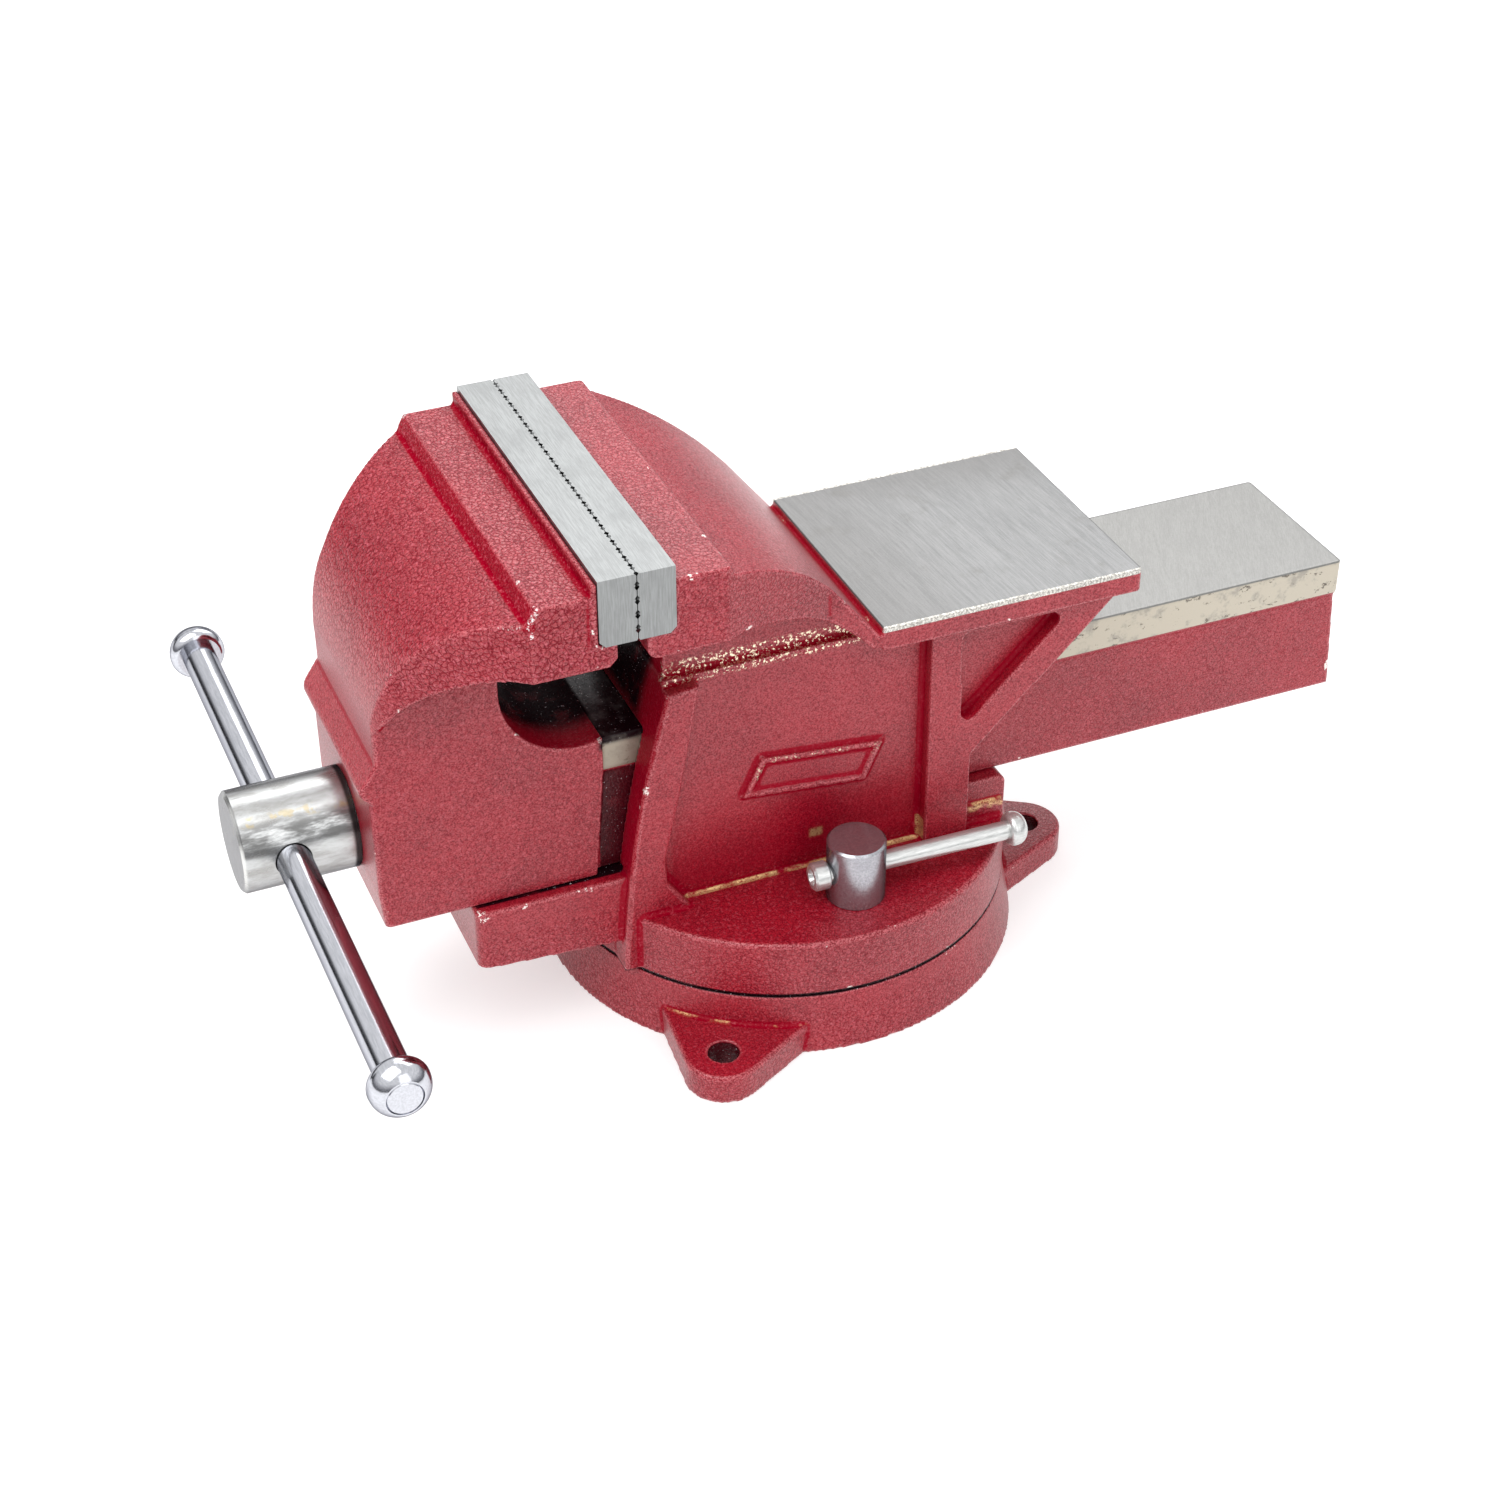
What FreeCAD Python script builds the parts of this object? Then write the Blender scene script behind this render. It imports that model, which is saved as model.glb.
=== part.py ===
import FreeCAD, Part
import math
import os

# Bench vise, all sizes in millimetres.
# X runs across the jaws, -Y points to the handle, +Y to the end of the slide bar, +Z is up.
# The origin is on the swivel axis, in the plane that rests on the bench.

V = FreeCAD.Vector
AXIS_X = V(1, 0, 0)
AXIS_Y = V(0, 1, 0)
AXIS_Z = V(0, 0, 1)

# ---- driving dimensions ----
GAP = 0.3                       # clearance between pieces that move past each other
RUNNING_FIT = 0.05              # radial clearance of a shaft that turns in its bore
SIDES = (1, -1)

JAW_WIDTH = 150.0
PLATE_THICKNESS = 13.7
PLATE_HEIGHT = 25.9
PLATE_TOP_Z = 216.1
PLATE_SEAT_Z = PLATE_TOP_Z - PLATE_HEIGHT
PARTING_Y = -83.0               # plane where the closed jaws meet
HALF_JAW_GAP = 0.15
FRONT_SEAT_Y = PARTING_Y - PLATE_THICKNESS - HALF_JAW_GAP
REAR_SEAT_Y = PARTING_Y + PLATE_THICKNESS + HALF_JAW_GAP
PLATE_CHAMFER = 2.2
SERRATION_PITCH = 5.6
SERRATION_DEPTH = 0.8
PLATE_SCREW_X = 45.0
PLATE_SCREW_Z = PLATE_SEAT_Z + PLATE_HEIGHT / 2
PLATE_SCREW_R = 4.0
PLATE_SCREW_HEAD_R = 8.0
PLATE_SCREW_LENGTH = 28.0
PLATE_SCREW_SUNK = 1.2          # how far the head lies under the gripping face

HEAD_HALF_WIDTH = 74.0
HEAD_TOP_Z = 209.8
LIP_THICKNESS = 2.2
LIP_TOP_Z = 214.6
THROAT_CENTRE_Y = -93.0
THROAT_CENTRE_Z = 154.5
THROAT_R = 29.0

BASE_TOP_Z = 24.0
BASE_TOP_R = 89.7
BASE_FOOT_R = 94.0
LUG_ANGLES = (-33.7, 86.3, 206.3)
LUG_CIRCLE_R = 108.3
LUG_THICKNESS = 12.0
LUG_TIP_R = 15.0
LUG_ROOT_R = 88.0
LUG_ROOT_HALF_WIDTH = 28.0
LUG_HOLE_R = 6.0
HUB_BORE_R = 18.1
HUB_UNDERSIDE_Z = 12.0
HUB_RECESS_R = 22.0
SLOT_HALF_WIDTH = 6.3
SLOT_ROOM_HALF_WIDTH = 12.0
SLOT_ROOM_BOTTOM_Z = 5.0
SLOT_ROOM_TOP_Z = 15.5

FLANGE_BOTTOM_Z = BASE_TOP_Z + 0.4
FLANGE_TOP_Z = 48.5
FLANGE_R = 89.7
SPIGOT_R = HUB_BORE_R - 0.1
SPIGOT_BOTTOM_Z = HUB_UNDERSIDE_Z - GAP

WALL_HALF_WIDTH = 41.0          # outside of the channel's side walls
RIB_HALF_WIDTH = 47.6
NECK_HALF_WIDTH = 38.2
SHOULDER_Z = 147.0
ANVIL_HALF_WIDTH = 51.3
ANVIL_FRONT_Y = 19.8
ANVIL_REAR_Y = 126.5
ANVIL_TOP_Z = 154.7
HUMP_FOOT_Z = 150.4              # where the head's hump runs out below the anvil's top
ANVIL_THICKNESS = 9.7
BODY_REAR_Y = 59.6

SLIDE_HALF_WIDTH = 34.7
SLIDE_TOP_Z = 124.7
SLIDE_BOTTOM_Z = 66.0
SLIDE_STRIP_Z = 110.4           # lower edge of the ground strip on each side
SLIDE_REAR_Y = 228.6
SLIDE_HOLLOW_HALF_WIDTH = 22.0
SLIDE_HOLLOW_TOP_Z = 112.0
CHANNEL_HALF_WIDTH = SLIDE_HALF_WIDTH + GAP
CHANNEL_FLOOR_Z = SLIDE_BOTTOM_Z - 0.4
CHANNEL_ROOF_Z = SLIDE_TOP_Z + GAP

SCREW_AXIS_Z = 92.0
JAW_FRONT_Y = -171.0            # boss that the screw head bears on
FRONT_WALL_THICKNESS = 21.0
HEAD_FRONT_Y = -214.4
HEAD_R = 19.2
JOURNAL_R = 13.0
THREAD_R = 12.5
THREAD_ROOT_R = 9.5
THREAD_PITCH = 6.0
THREAD_START_Y = -120.0
THREAD_TURNS = 54
SCREW_END_Y = 212.0
THRUST_WASHER_R = 17.5
THRUST_WASHER_THICKNESS = 2.7
SPRING_WIRE_R = 1.5
SPRING_TURNS = 4
RETAINING_WASHER_Y = -132.0
RETAINING_WASHER_THICKNESS = 2.5
RETAINING_WASHER_R = 19.0
COTTER_R = 2.0

BAR_R = 6.5
BAR_Y = -196.2
BAR_LEFT_X = -136.0
BAR_RIGHT_X = 155.2
KNOB_LENGTH = 11.0
KNOB_R = 10.8

NUT_FRONT_Y = 18.0
NUT_REAR_Y = 58.0
NUT_HALF_WIDTH = 17.0
NUT_BOLT_YS = (29.0, 45.0)
NUT_BOLT_R = 5.0
NUT_BOLT_HEAD_R = 8.0
NUT_POCKET_TOP_Z = 50.0

LOCK_X = 64.6
LOCK_Y = 4.5
SLOT_R = math.hypot(LOCK_X, LOCK_Y)     # mean radius of the circular T-slot
LOCK_HEAD_R = 11.25
LOCK_HEAD_TOP_Z = 74.0
LOCK_SHANK_R = 6.0
LOCK_END_Z = 7.5
LOCK_ROD_Z = 60.8
LOCK_ROD_R = 3.65
LOCK_ROD_FRONT_Y = -13.6
LOCK_ROD_REAR_Y = 74.5
LOCK_ROD_SPLAY = 1.4            # degrees by which a rod's rear end points outward


# ---- shared ways of making shapes ----
def box(x0, x1, y0, y1, z0, z1):
    return Part.makeBox(x1 - x0, y1 - y0, z1 - z0, V(x0, y0, z0))


def wide_box(half_width, y0, y1, z0, z1):
    """A box centred on the plane X = 0."""
    return box(-half_width, half_width, y0, y1, z0, z1)


def rod(radius, start, end):
    """A cylinder from one point to another."""
    along = end - start
    return Part.makeCylinder(radius, along.Length, start, along)


def upright(radius, x, y, z0, z1):
    return rod(radius, V(x, y, z0), V(x, y, z1))


def closed_wire(points, place):
    """A closed outline. A point is (a, b), an arc is ((a, b) on its way, (a, b) at its end)."""
    first = place(*points[0])
    here = first
    edges = []
    for item in points[1:]:
        if isinstance(item[0], tuple):
            end = place(*item[1])
            edges.append(Part.Arc(here, place(*item[0]), end).toShape())
        else:
            end = place(*item)
            edges.append(Part.LineSegment(here, end).toShape())
        here = end
    edges.append(Part.LineSegment(here, first).toShape())
    return Part.Wire(edges)


def side_slab(points, x0, x1):
    """A side outline of (y, z) points, carried across from x0 to x1."""
    face = Part.Face(closed_wire(points, lambda y, z: V(x0, y, z)))
    return face.extrude(V(x1 - x0, 0, 0))


def plan_slab(points, z0, z1):
    """A top-view outline of (x, y) points, carried up from z0 to z1."""
    face = Part.Face(closed_wire(points, lambda x, y: V(x, y, z0)))
    return face.extrude(V(0, 0, z1 - z0))


def turned(points, origin, axis):
    """A body of revolution from (distance along the axis, radius) points."""
    across = AXIS_X if abs(axis.x) < 0.5 else AXIS_Z
    face = Part.Face(closed_wire(points, lambda d, r: origin + axis * d + across * r))
    return face.revolve(origin, axis, 360)


def ring(inner, outer, z0, z1):
    return upright(outer, 0, 0, z0, z1).cut(upright(inner, 0, 0, z0, z1))


def fuse(*shapes):
    return shapes[0].multiFuse(list(shapes[1:])).removeSplitter()


def mirrored(shape):
    """The same shape on the other side of the plane X = 0."""
    return shape.mirror(V(0, 0, 0), AXIS_X)


def both_sides(shape):
    return [shape, mirrored(shape)]


def is_along(edge, axis):
    """True for a straight edge that runs along the axis."""
    if not isinstance(edge.Curve, Part.Line):
        return False
    return abs(abs(edge.Curve.Direction.dot(axis)) - 1) < 1e-6


def round_edges(shape, radius, chosen):
    return shape.makeFillet(radius, [edge for edge in shape.Edges if chosen(edge)])


def hexagon(across_flats, centre, axis, length):
    """A hexagonal prism, for bolt heads and key sockets."""
    corner_r = across_flats / math.sqrt(3)
    corners = []
    for step in range(7):
        turn = math.radians(60 * step)
        corners.append(V(corner_r * math.cos(turn), corner_r * math.sin(turn), 0))
    prism = Part.Face(Part.makePolygon(corners)).extrude(V(0, 0, length))
    prism.Placement = FreeCAD.Placement(centre, FreeCAD.Rotation(AXIS_Z, axis))
    return prism


# ---- base ----
def lug(angle):
    """One mounting lug: a plate that narrows to a round tip, with a bolt hole."""
    root = (LUG_ROOT_R, LUG_ROOT_HALF_WIDTH)
    reach = math.hypot(LUG_CIRCLE_R - root[0], root[1])
    lean = math.acos(LUG_TIP_R / reach)
    toward_root = math.atan2(root[1], root[0] - LUG_CIRCLE_R)
    touch = toward_root - lean
    tip_x = LUG_CIRCLE_R + LUG_TIP_R * math.cos(touch)
    tip_y = LUG_TIP_R * math.sin(touch)
    outline = [
        (LUG_ROOT_R - 12, -LUG_ROOT_HALF_WIDTH),
        (root[0], -root[1]),
        (tip_x, -tip_y),
        ((LUG_CIRCLE_R + LUG_TIP_R, 0.0), (tip_x, tip_y)),
        root,
        (LUG_ROOT_R - 12, LUG_ROOT_HALF_WIDTH),
    ]
    plate = plan_slab(outline, 0, LUG_THICKNESS)
    plate = round_edges(plate, 1.5, lambda e: e.CenterOfMass.z > LUG_THICKNESS - 0.01)
    plate.rotate(V(0, 0, 0), AXIS_Z, angle)
    return plate


def swivel_base():
    foot = Part.makeCone(BASE_FOOT_R, BASE_TOP_R, BASE_TOP_Z)
    foot = round_edges(foot, 1.0, lambda e: e.CenterOfMass.z > BASE_TOP_Z - 0.01)
    casting = fuse(foot, *[lug(angle) for angle in LUG_ANGLES])
    slot = ring(SLOT_R - SLOT_HALF_WIDTH, SLOT_R + SLOT_HALF_WIDTH, SLOT_ROOM_TOP_Z, BASE_TOP_Z)
    room = ring(
        SLOT_R - SLOT_ROOM_HALF_WIDTH, SLOT_R + SLOT_ROOM_HALF_WIDTH,
        SLOT_ROOM_BOTTOM_Z, SLOT_ROOM_TOP_Z,
    )
    entry_half_width = 13.0     # where a clamp nut is dropped into the slot
    entry = box(
        -entry_half_width, entry_half_width,
        -SLOT_R - SLOT_ROOM_HALF_WIDTH, -SLOT_R + SLOT_ROOM_HALF_WIDTH,
        SLOT_ROOM_TOP_Z, BASE_TOP_Z,
    )
    holes = [
        upright(HUB_BORE_R, 0, 0, 0, BASE_TOP_Z),
        upright(HUB_RECESS_R, 0, 0, 0, HUB_UNDERSIDE_Z),
        slot, room, entry,
    ]
    for angle in LUG_ANGLES:
        x = LUG_CIRCLE_R * math.cos(math.radians(angle))
        y = LUG_CIRCLE_R * math.sin(math.radians(angle))
        holes.append(upright(LUG_HOLE_R, x, y, 0, LUG_THICKNESS))
    return casting.cut(holes)


# ---- fixed body: flange, channel, jaw and anvil in one casting ----
FRONT_FOOT = (-82.2, FLANGE_BOTTOM_Z)
FRONT_MIDDLE = (-72.0, 108.0)
FRONT_SHOULDER = (-61.8, SHOULDER_Z)
BRACKET_FOOT = (BODY_REAR_Y, 86.0)
BRACKET_TIP = (121.8, SHOULDER_Z)


def flange():
    """The round flange that turns on the base."""
    disc = upright(FLANGE_R, 0, 0, FLANGE_BOTTOM_Z, FLANGE_TOP_Z)
    return round_edges(disc, 1.5, lambda e: e.CenterOfMass.z > FLANGE_TOP_Z - 0.01)


def tongues():
    """The guide tongues that carry the slide bar in front of the channel and behind it."""
    front_outline = [
        (-137.4, CHANNEL_FLOOR_Z), (-137.4, 40.4), (-70.0, 35.8), (-70.0, CHANNEL_FLOOR_Z),
    ]
    front = side_slab(front_outline, -43.5, 43.5)
    front = round_edges(front, 4.0, lambda e: is_along(e, AXIS_Z) and e.CenterOfMass.y < -100)
    front = round_edges(front, 1.5, lambda e: e.CenterOfMass.z > CHANNEL_FLOOR_Z - 0.01)
    rear = wide_box(39.5, 40.0, 80.0, FLANGE_BOTTOM_Z, CHANNEL_FLOOR_Z)
    rear = round_edges(rear, 3.0, lambda e: is_along(e, AXIS_X) and e.CenterOfMass.z > 60)
    step = wide_box(41.5, 40.0, 79.0, FLANGE_BOTTOM_Z, 55.0)
    return [front, rear, step]


def channel_walls():
    outline = [
        FRONT_FOOT, (FRONT_MIDDLE, FRONT_SHOULDER), BRACKET_TIP, BRACKET_FOOT,
        (BODY_REAR_Y, FLANGE_BOTTOM_Z),
    ]
    return side_slab(outline, -WALL_HALF_WIDTH, WALL_HALF_WIDTH)


def front_rib():
    """The upright rib beside the channel's mouth, spread out behind where it stands on the flange."""
    outline = [
        FRONT_FOOT, (FRONT_MIDDLE, (-62.6, SHOULDER_Z - 2.5)),
        (-50.2, SHOULDER_Z - 1.0), (-58.7, 99.5), (-64.8, 72.0), (-64.2, 61.5),
        (-54.6, FLANGE_TOP_Z - 1.0), (-54.6, FLANGE_BOTTOM_Z),
    ]
    rib = side_slab(outline, 38.0, RIB_HALF_WIDTH)
    return round_edges(rib, 1.5, lambda e: e.CenterOfMass.x > RIB_HALF_WIDTH - 0.01)


def rear_bracket():
    """The side bracket under the anvil, with its three-cornered recess."""
    outline = [
        (41.6, FLANGE_TOP_Z - 2), (41.6, SHOULDER_Z), BRACKET_TIP, BRACKET_FOOT,
        (BODY_REAR_Y, FLANGE_TOP_Z - 2),
    ]
    plate = side_slab(outline, 38.0, RIB_HALF_WIDTH)
    recess = side_slab([(54.0, 141.8), (99.5, 141.8), (55.2, 98.0)], WALL_HALF_WIDTH, 60.0)
    recess = round_edges(recess, 3.5, lambda e: is_along(e, AXIS_X))
    return plate.cut(recess)


def fixed_head():
    """The rear jaw's head: flat on top, then a hump that runs down to the anvil."""
    profile = [
        (REAR_SEAT_Y, HEAD_TOP_Z), (-48.5, HEAD_TOP_Z), (-47.6, 206.0),
        ((-21.6, 194.0), (0.0, 175.2)), (ANVIL_FRONT_Y, HUMP_FOOT_Z), (ANVIL_FRONT_Y, SHOULDER_Z),
        (16.0, SHOULDER_Z), ((-12.0, 169.5), (-43.0, 180.6)), (-75.0, 180.2),
        ((-78.0, 181.4), (-79.2, 184.4)), (-79.2, PLATE_SEAT_Z), (REAR_SEAT_Y, PLATE_SEAT_Z),
    ]
    plan = [
        (HEAD_HALF_WIDTH, -90.0), (HEAD_HALF_WIDTH, -50.0), (ANVIL_HALF_WIDTH, -2.0),
        (ANVIL_HALF_WIDTH, 30.0), (-ANVIL_HALF_WIDTH, 30.0), (-ANVIL_HALF_WIDTH, -2.0),
        (-HEAD_HALF_WIDTH, -50.0), (-HEAD_HALF_WIDTH, -90.0),
    ]
    side = side_slab(profile, -HEAD_HALF_WIDTH, HEAD_HALF_WIDTH)
    neck = side_slab(
        [(-61.0, 140.0), (-61.0, 190.0), (-30.0, 190.0), (4.0, 163.0), (17.0, 150.0),
         (17.0, 140.0)],
        -NECK_HALF_WIDTH, NECK_HALF_WIDTH,
    )
    return [side.common(plan_slab(plan, 120.0, 230.0)), neck]


def anvil():
    block = wide_box(
        ANVIL_HALF_WIDTH, ANVIL_FRONT_Y, ANVIL_REAR_Y, ANVIL_TOP_Z - ANVIL_THICKNESS, ANVIL_TOP_Z
    )
    return round_edges(block, 2.0, lambda e: is_along(e, AXIS_Z) and e.CenterOfMass.y > 50)


def cartouche():
    """A blank raised panel with a rim, cast on the side wall."""
    outer = side_slab([(-32.0, 88.0), (-24.5, 104.0), (25.0, 99.0), (18.0, 83.0)], 40.0, 43.0)
    inner = side_slab([(-28.6, 90.0), (-23.0, 101.6), (21.6, 97.1), (16.4, 85.4)], 42.0, 43.5)
    return outer.cut(inner)


def vise_body():
    side_pieces = []
    for piece in (front_rib(), rear_bracket(), cartouche()):
        side_pieces += both_sides(piece)
    spigot = upright(SPIGOT_R, 0, 0, SPIGOT_BOTTOM_Z, FLANGE_BOTTOM_Z + 5)
    solid = fuse(
        flange(), channel_walls(), anvil(), spigot, *tongues(), *fixed_head(), *side_pieces
    )
    channel = wide_box(CHANNEL_HALF_WIDTH, -160.0, 160.0, CHANNEL_FLOOR_Z, CHANNEL_ROOF_Z)
    nut_pocket = wide_box(14.0, 19.2, 54.8, FLANGE_BOTTOM_Z, NUT_POCKET_TOP_Z)
    nut_pocket = round_edges(nut_pocket, 5.0, lambda e: is_along(e, AXIS_Z))
    holes = [channel, nut_pocket, upright(LOCK_SHANK_R, 0, 0, SPIGOT_BOTTOM_Z, 40.0)]
    for y in NUT_BOLT_YS:
        holes.append(upright(NUT_BOLT_R + 0.25, 0, y, NUT_POCKET_TOP_Z, CHANNEL_FLOOR_Z))
    for side in SIDES:
        holes.append(upright(LOCK_SHANK_R + 0.4, side * LOCK_X, LOCK_Y, FLANGE_BOTTOM_Z, 60.0))
        start = V(side * PLATE_SCREW_X, REAR_SEAT_Y, PLATE_SCREW_Z)
        holes.append(rod(PLATE_SCREW_R, start, start + AXIS_Y * 17))
    return solid.cut(holes)


# ---- movable jaw: head, body and slide bar in one casting ----
def movable_head():
    """The front jaw's head: flat on top, then a round nose that narrows to the front."""
    profile = [
        (FRONT_SEAT_Y, HEAD_TOP_Z), (-118.3, HEAD_TOP_Z), (-121.5, 204.0),
        ((-155.0, 185.4), (-168.0, 154.0)), (-168.0, 150.0),
        ((-154.4, 167.0), (-126.0, 181.0)), (-92.8, 181.0), (-90.0, 184.0),
        (-90.0, PLATE_SEAT_Z), (FRONT_SEAT_Y, PLATE_SEAT_Z),
    ]
    plan = [
        (HEAD_HALF_WIDTH, -80.0), (HEAD_HALF_WIDTH, -120.0), (45.0, -159.5),
        ((41.0, -165.5), (34.0, -168.5)), (-34.0, -168.5), ((-41.0, -165.5), (-45.0, -159.5)),
        (-HEAD_HALF_WIDTH, -120.0), (-HEAD_HALF_WIDTH, -80.0),
    ]
    side = side_slab(profile, -HEAD_HALF_WIDTH, HEAD_HALF_WIDTH)
    lip = wide_box(
        HEAD_HALF_WIDTH + 0.6, FRONT_SEAT_Y - LIP_THICKNESS, FRONT_SEAT_Y, PLATE_SEAT_Z,
        LIP_TOP_Z,
    )
    return [side.common(plan_slab(plan, 120.0, 230.0)), lip]


def movable_front():
    """The box-shaped body under the head, with the round throat behind it."""
    profile = [
        (JAW_FRONT_Y + 1.4, SLIDE_BOTTOM_Z), (JAW_FRONT_Y, 80.0), (JAW_FRONT_Y, 122.0),
        (-174.3, 125.6), (-174.3, 127.8),
        (-168.0, 137.0), (-168.0, 152.0), (-158.0, 172.0), (-140.0, 183.0), (-122.0, 192.0),
        (THROAT_CENTRE_Y - THROAT_R, THROAT_CENTRE_Z),
        ((THROAT_CENTRE_Y - 18.0, THROAT_CENTRE_Z - math.sqrt(THROAT_R ** 2 - 18.0 ** 2)),
         (-84.6, THROAT_CENTRE_Z - math.sqrt(THROAT_R ** 2 - 8.4 ** 2))),
        (-84.6, 112.0), (-88.5, SLIDE_BOTTOM_Z),
    ]
    body = side_slab(profile, -38.0, 38.0)
    return round_edges(
        body, 2.0, lambda e: is_along(e, AXIS_Z) and e.CenterOfMass.y < -160
    )


def slide_bar():
    """The guide bar: a channel open below, with ground strips along the top of its sides."""
    top = wide_box(SLIDE_HALF_WIDTH, -100.0, SLIDE_REAR_Y, SLIDE_STRIP_Z, SLIDE_TOP_Z)
    top = round_edges(top, 2.0, lambda e: is_along(e, AXIS_Z) and e.CenterOfMass.y > 0)
    lower_outline = [
        (-100.0, SLIDE_STRIP_Z), (SLIDE_REAR_Y - 1.4, SLIDE_STRIP_Z),
        (SLIDE_REAR_Y + 1.6, SLIDE_BOTTOM_Z), (-100.0, SLIDE_BOTTOM_Z),
    ]
    lower = side_slab(lower_outline, 0.6 - SLIDE_HALF_WIDTH, SLIDE_HALF_WIDTH - 0.6)
    return [top, lower]


def movable_jaw():
    solid = fuse(movable_front(), *movable_head(), *slide_bar())
    wall_inside_y = JAW_FRONT_Y + FRONT_WALL_THICKNESS
    hollow = wide_box(SLIDE_HOLLOW_HALF_WIDTH, wall_inside_y, 240.0, 60.0, SLIDE_HOLLOW_TOP_Z)
    hollow = round_edges(
        hollow, 5.0, lambda e: is_along(e, AXIS_Y) and e.CenterOfMass.z > SCREW_AXIS_Z
    )
    holes = [
        hollow,
        rod(JOURNAL_R + RUNNING_FIT, V(0, -180, SCREW_AXIS_Z), V(0, -140, SCREW_AXIS_Z)),
        rod(
            THRUST_WASHER_R + GAP, V(0, JAW_FRONT_Y - 2, SCREW_AXIS_Z),
            V(0, JAW_FRONT_Y + THRUST_WASHER_THICKNESS, SCREW_AXIS_Z),
        ),
    ]
    for side in SIDES:
        start = V(side * PLATE_SCREW_X, FRONT_SEAT_Y, PLATE_SCREW_Z)
        holes.append(rod(PLATE_SCREW_R, start, start - AXIS_Y * 17))
    return solid.cut(holes)


# ---- jaw plates and their screws ----
def serration_grooves(face_y):
    """Two crossing sets of slanted V-grooves in the gripping face."""
    grooves = []
    middle_z = PLATE_SEAT_Z + PLATE_HEIGHT / 2
    reach = PLATE_HEIGHT + 6
    steps = int((JAW_WIDTH + PLATE_HEIGHT) / SERRATION_PITCH / 2) + 1
    mouth = SERRATION_DEPTH + 0.2
    for step in range(-steps, steps + 1):
        for lean in (45, -45):
            section = [
                V(-mouth, mouth - SERRATION_DEPTH, 0), V(mouth, mouth - SERRATION_DEPTH, 0),
                V(0, -SERRATION_DEPTH, 0),
            ]
            wire = Part.makePolygon(section + [section[0]])
            groove = Part.Face(wire).extrude(V(0, 0, 2 * reach))
            groove.translate(V(0, 0, -reach))
            groove.rotate(V(0, 0, 0), AXIS_Y, lean)
            groove.translate(V(step * SERRATION_PITCH, face_y, middle_z))
            grooves.append(groove)
    return grooves


def jaw_plate():
    """The rear jaw plate. Its gripping face looks to -Y."""
    face_y = PARTING_Y + HALF_JAW_GAP
    top_z = PLATE_TOP_Z
    outline = [
        (face_y, PLATE_SEAT_Z), (face_y, top_z), (REAR_SEAT_Y, top_z),
        (REAR_SEAT_Y, PLATE_SEAT_Z + PLATE_CHAMFER), (REAR_SEAT_Y - PLATE_CHAMFER, PLATE_SEAT_Z),
    ]
    plate = side_slab(outline, -JAW_WIDTH / 2, JAW_WIDTH / 2)
    grooves = serration_grooves(face_y)
    for groove in grooves:
        groove.rotate(V(0, face_y, PLATE_SCREW_Z), AXIS_Z, 180)
    plate = plate.cut(grooves)
    holes = []
    for side in SIDES:
        centre = V(side * PLATE_SCREW_X, face_y, PLATE_SCREW_Z)
        holes.append(rod(PLATE_SCREW_R + 0.2, centre, centre + AXIS_Y * PLATE_THICKNESS))
        sink_r = PLATE_SCREW_HEAD_R + 0.2
        sink_length = sink_r - PLATE_SCREW_R
        holes.append(rod(sink_r, centre, centre + AXIS_Y * PLATE_SCREW_SUNK))
        holes.append(
            Part.makeCone(sink_r, PLATE_SCREW_R, sink_length,
                          centre + AXIS_Y * PLATE_SCREW_SUNK, AXIS_Y)
        )
    return plate.cut(holes)


def plate_screws():
    """The two countersunk screws of the rear jaw plate."""
    screws = []
    head_length = PLATE_SCREW_HEAD_R - PLATE_SCREW_R
    profile = [
        (0.0, 0.0), (0.0, PLATE_SCREW_HEAD_R), (head_length, PLATE_SCREW_R),
        (PLATE_SCREW_LENGTH - 1, PLATE_SCREW_R), (PLATE_SCREW_LENGTH, PLATE_SCREW_R - 1),
        (PLATE_SCREW_LENGTH, 0.0),
    ]
    for side in SIDES:
        top = V(side * PLATE_SCREW_X, PARTING_Y + HALF_JAW_GAP + PLATE_SCREW_SUNK, PLATE_SCREW_Z)
        socket = hexagon(5.0, top, AXIS_Y, 4.0)
        screws.append(turned(profile, top, AXIS_Y).cut(socket))
    return Part.makeCompound(screws)


def to_front_jaw(shape):
    """The same shape on the front jaw, turned about the upright line through the parting plane."""
    turned_shape = shape.copy()
    turned_shape.rotate(V(0, PARTING_Y, 0), AXIS_Z, 180)
    return turned_shape


# ---- main screw and what sits on it ----
def on_screw(y):
    return V(0, y, SCREW_AXIS_Z)


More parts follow.
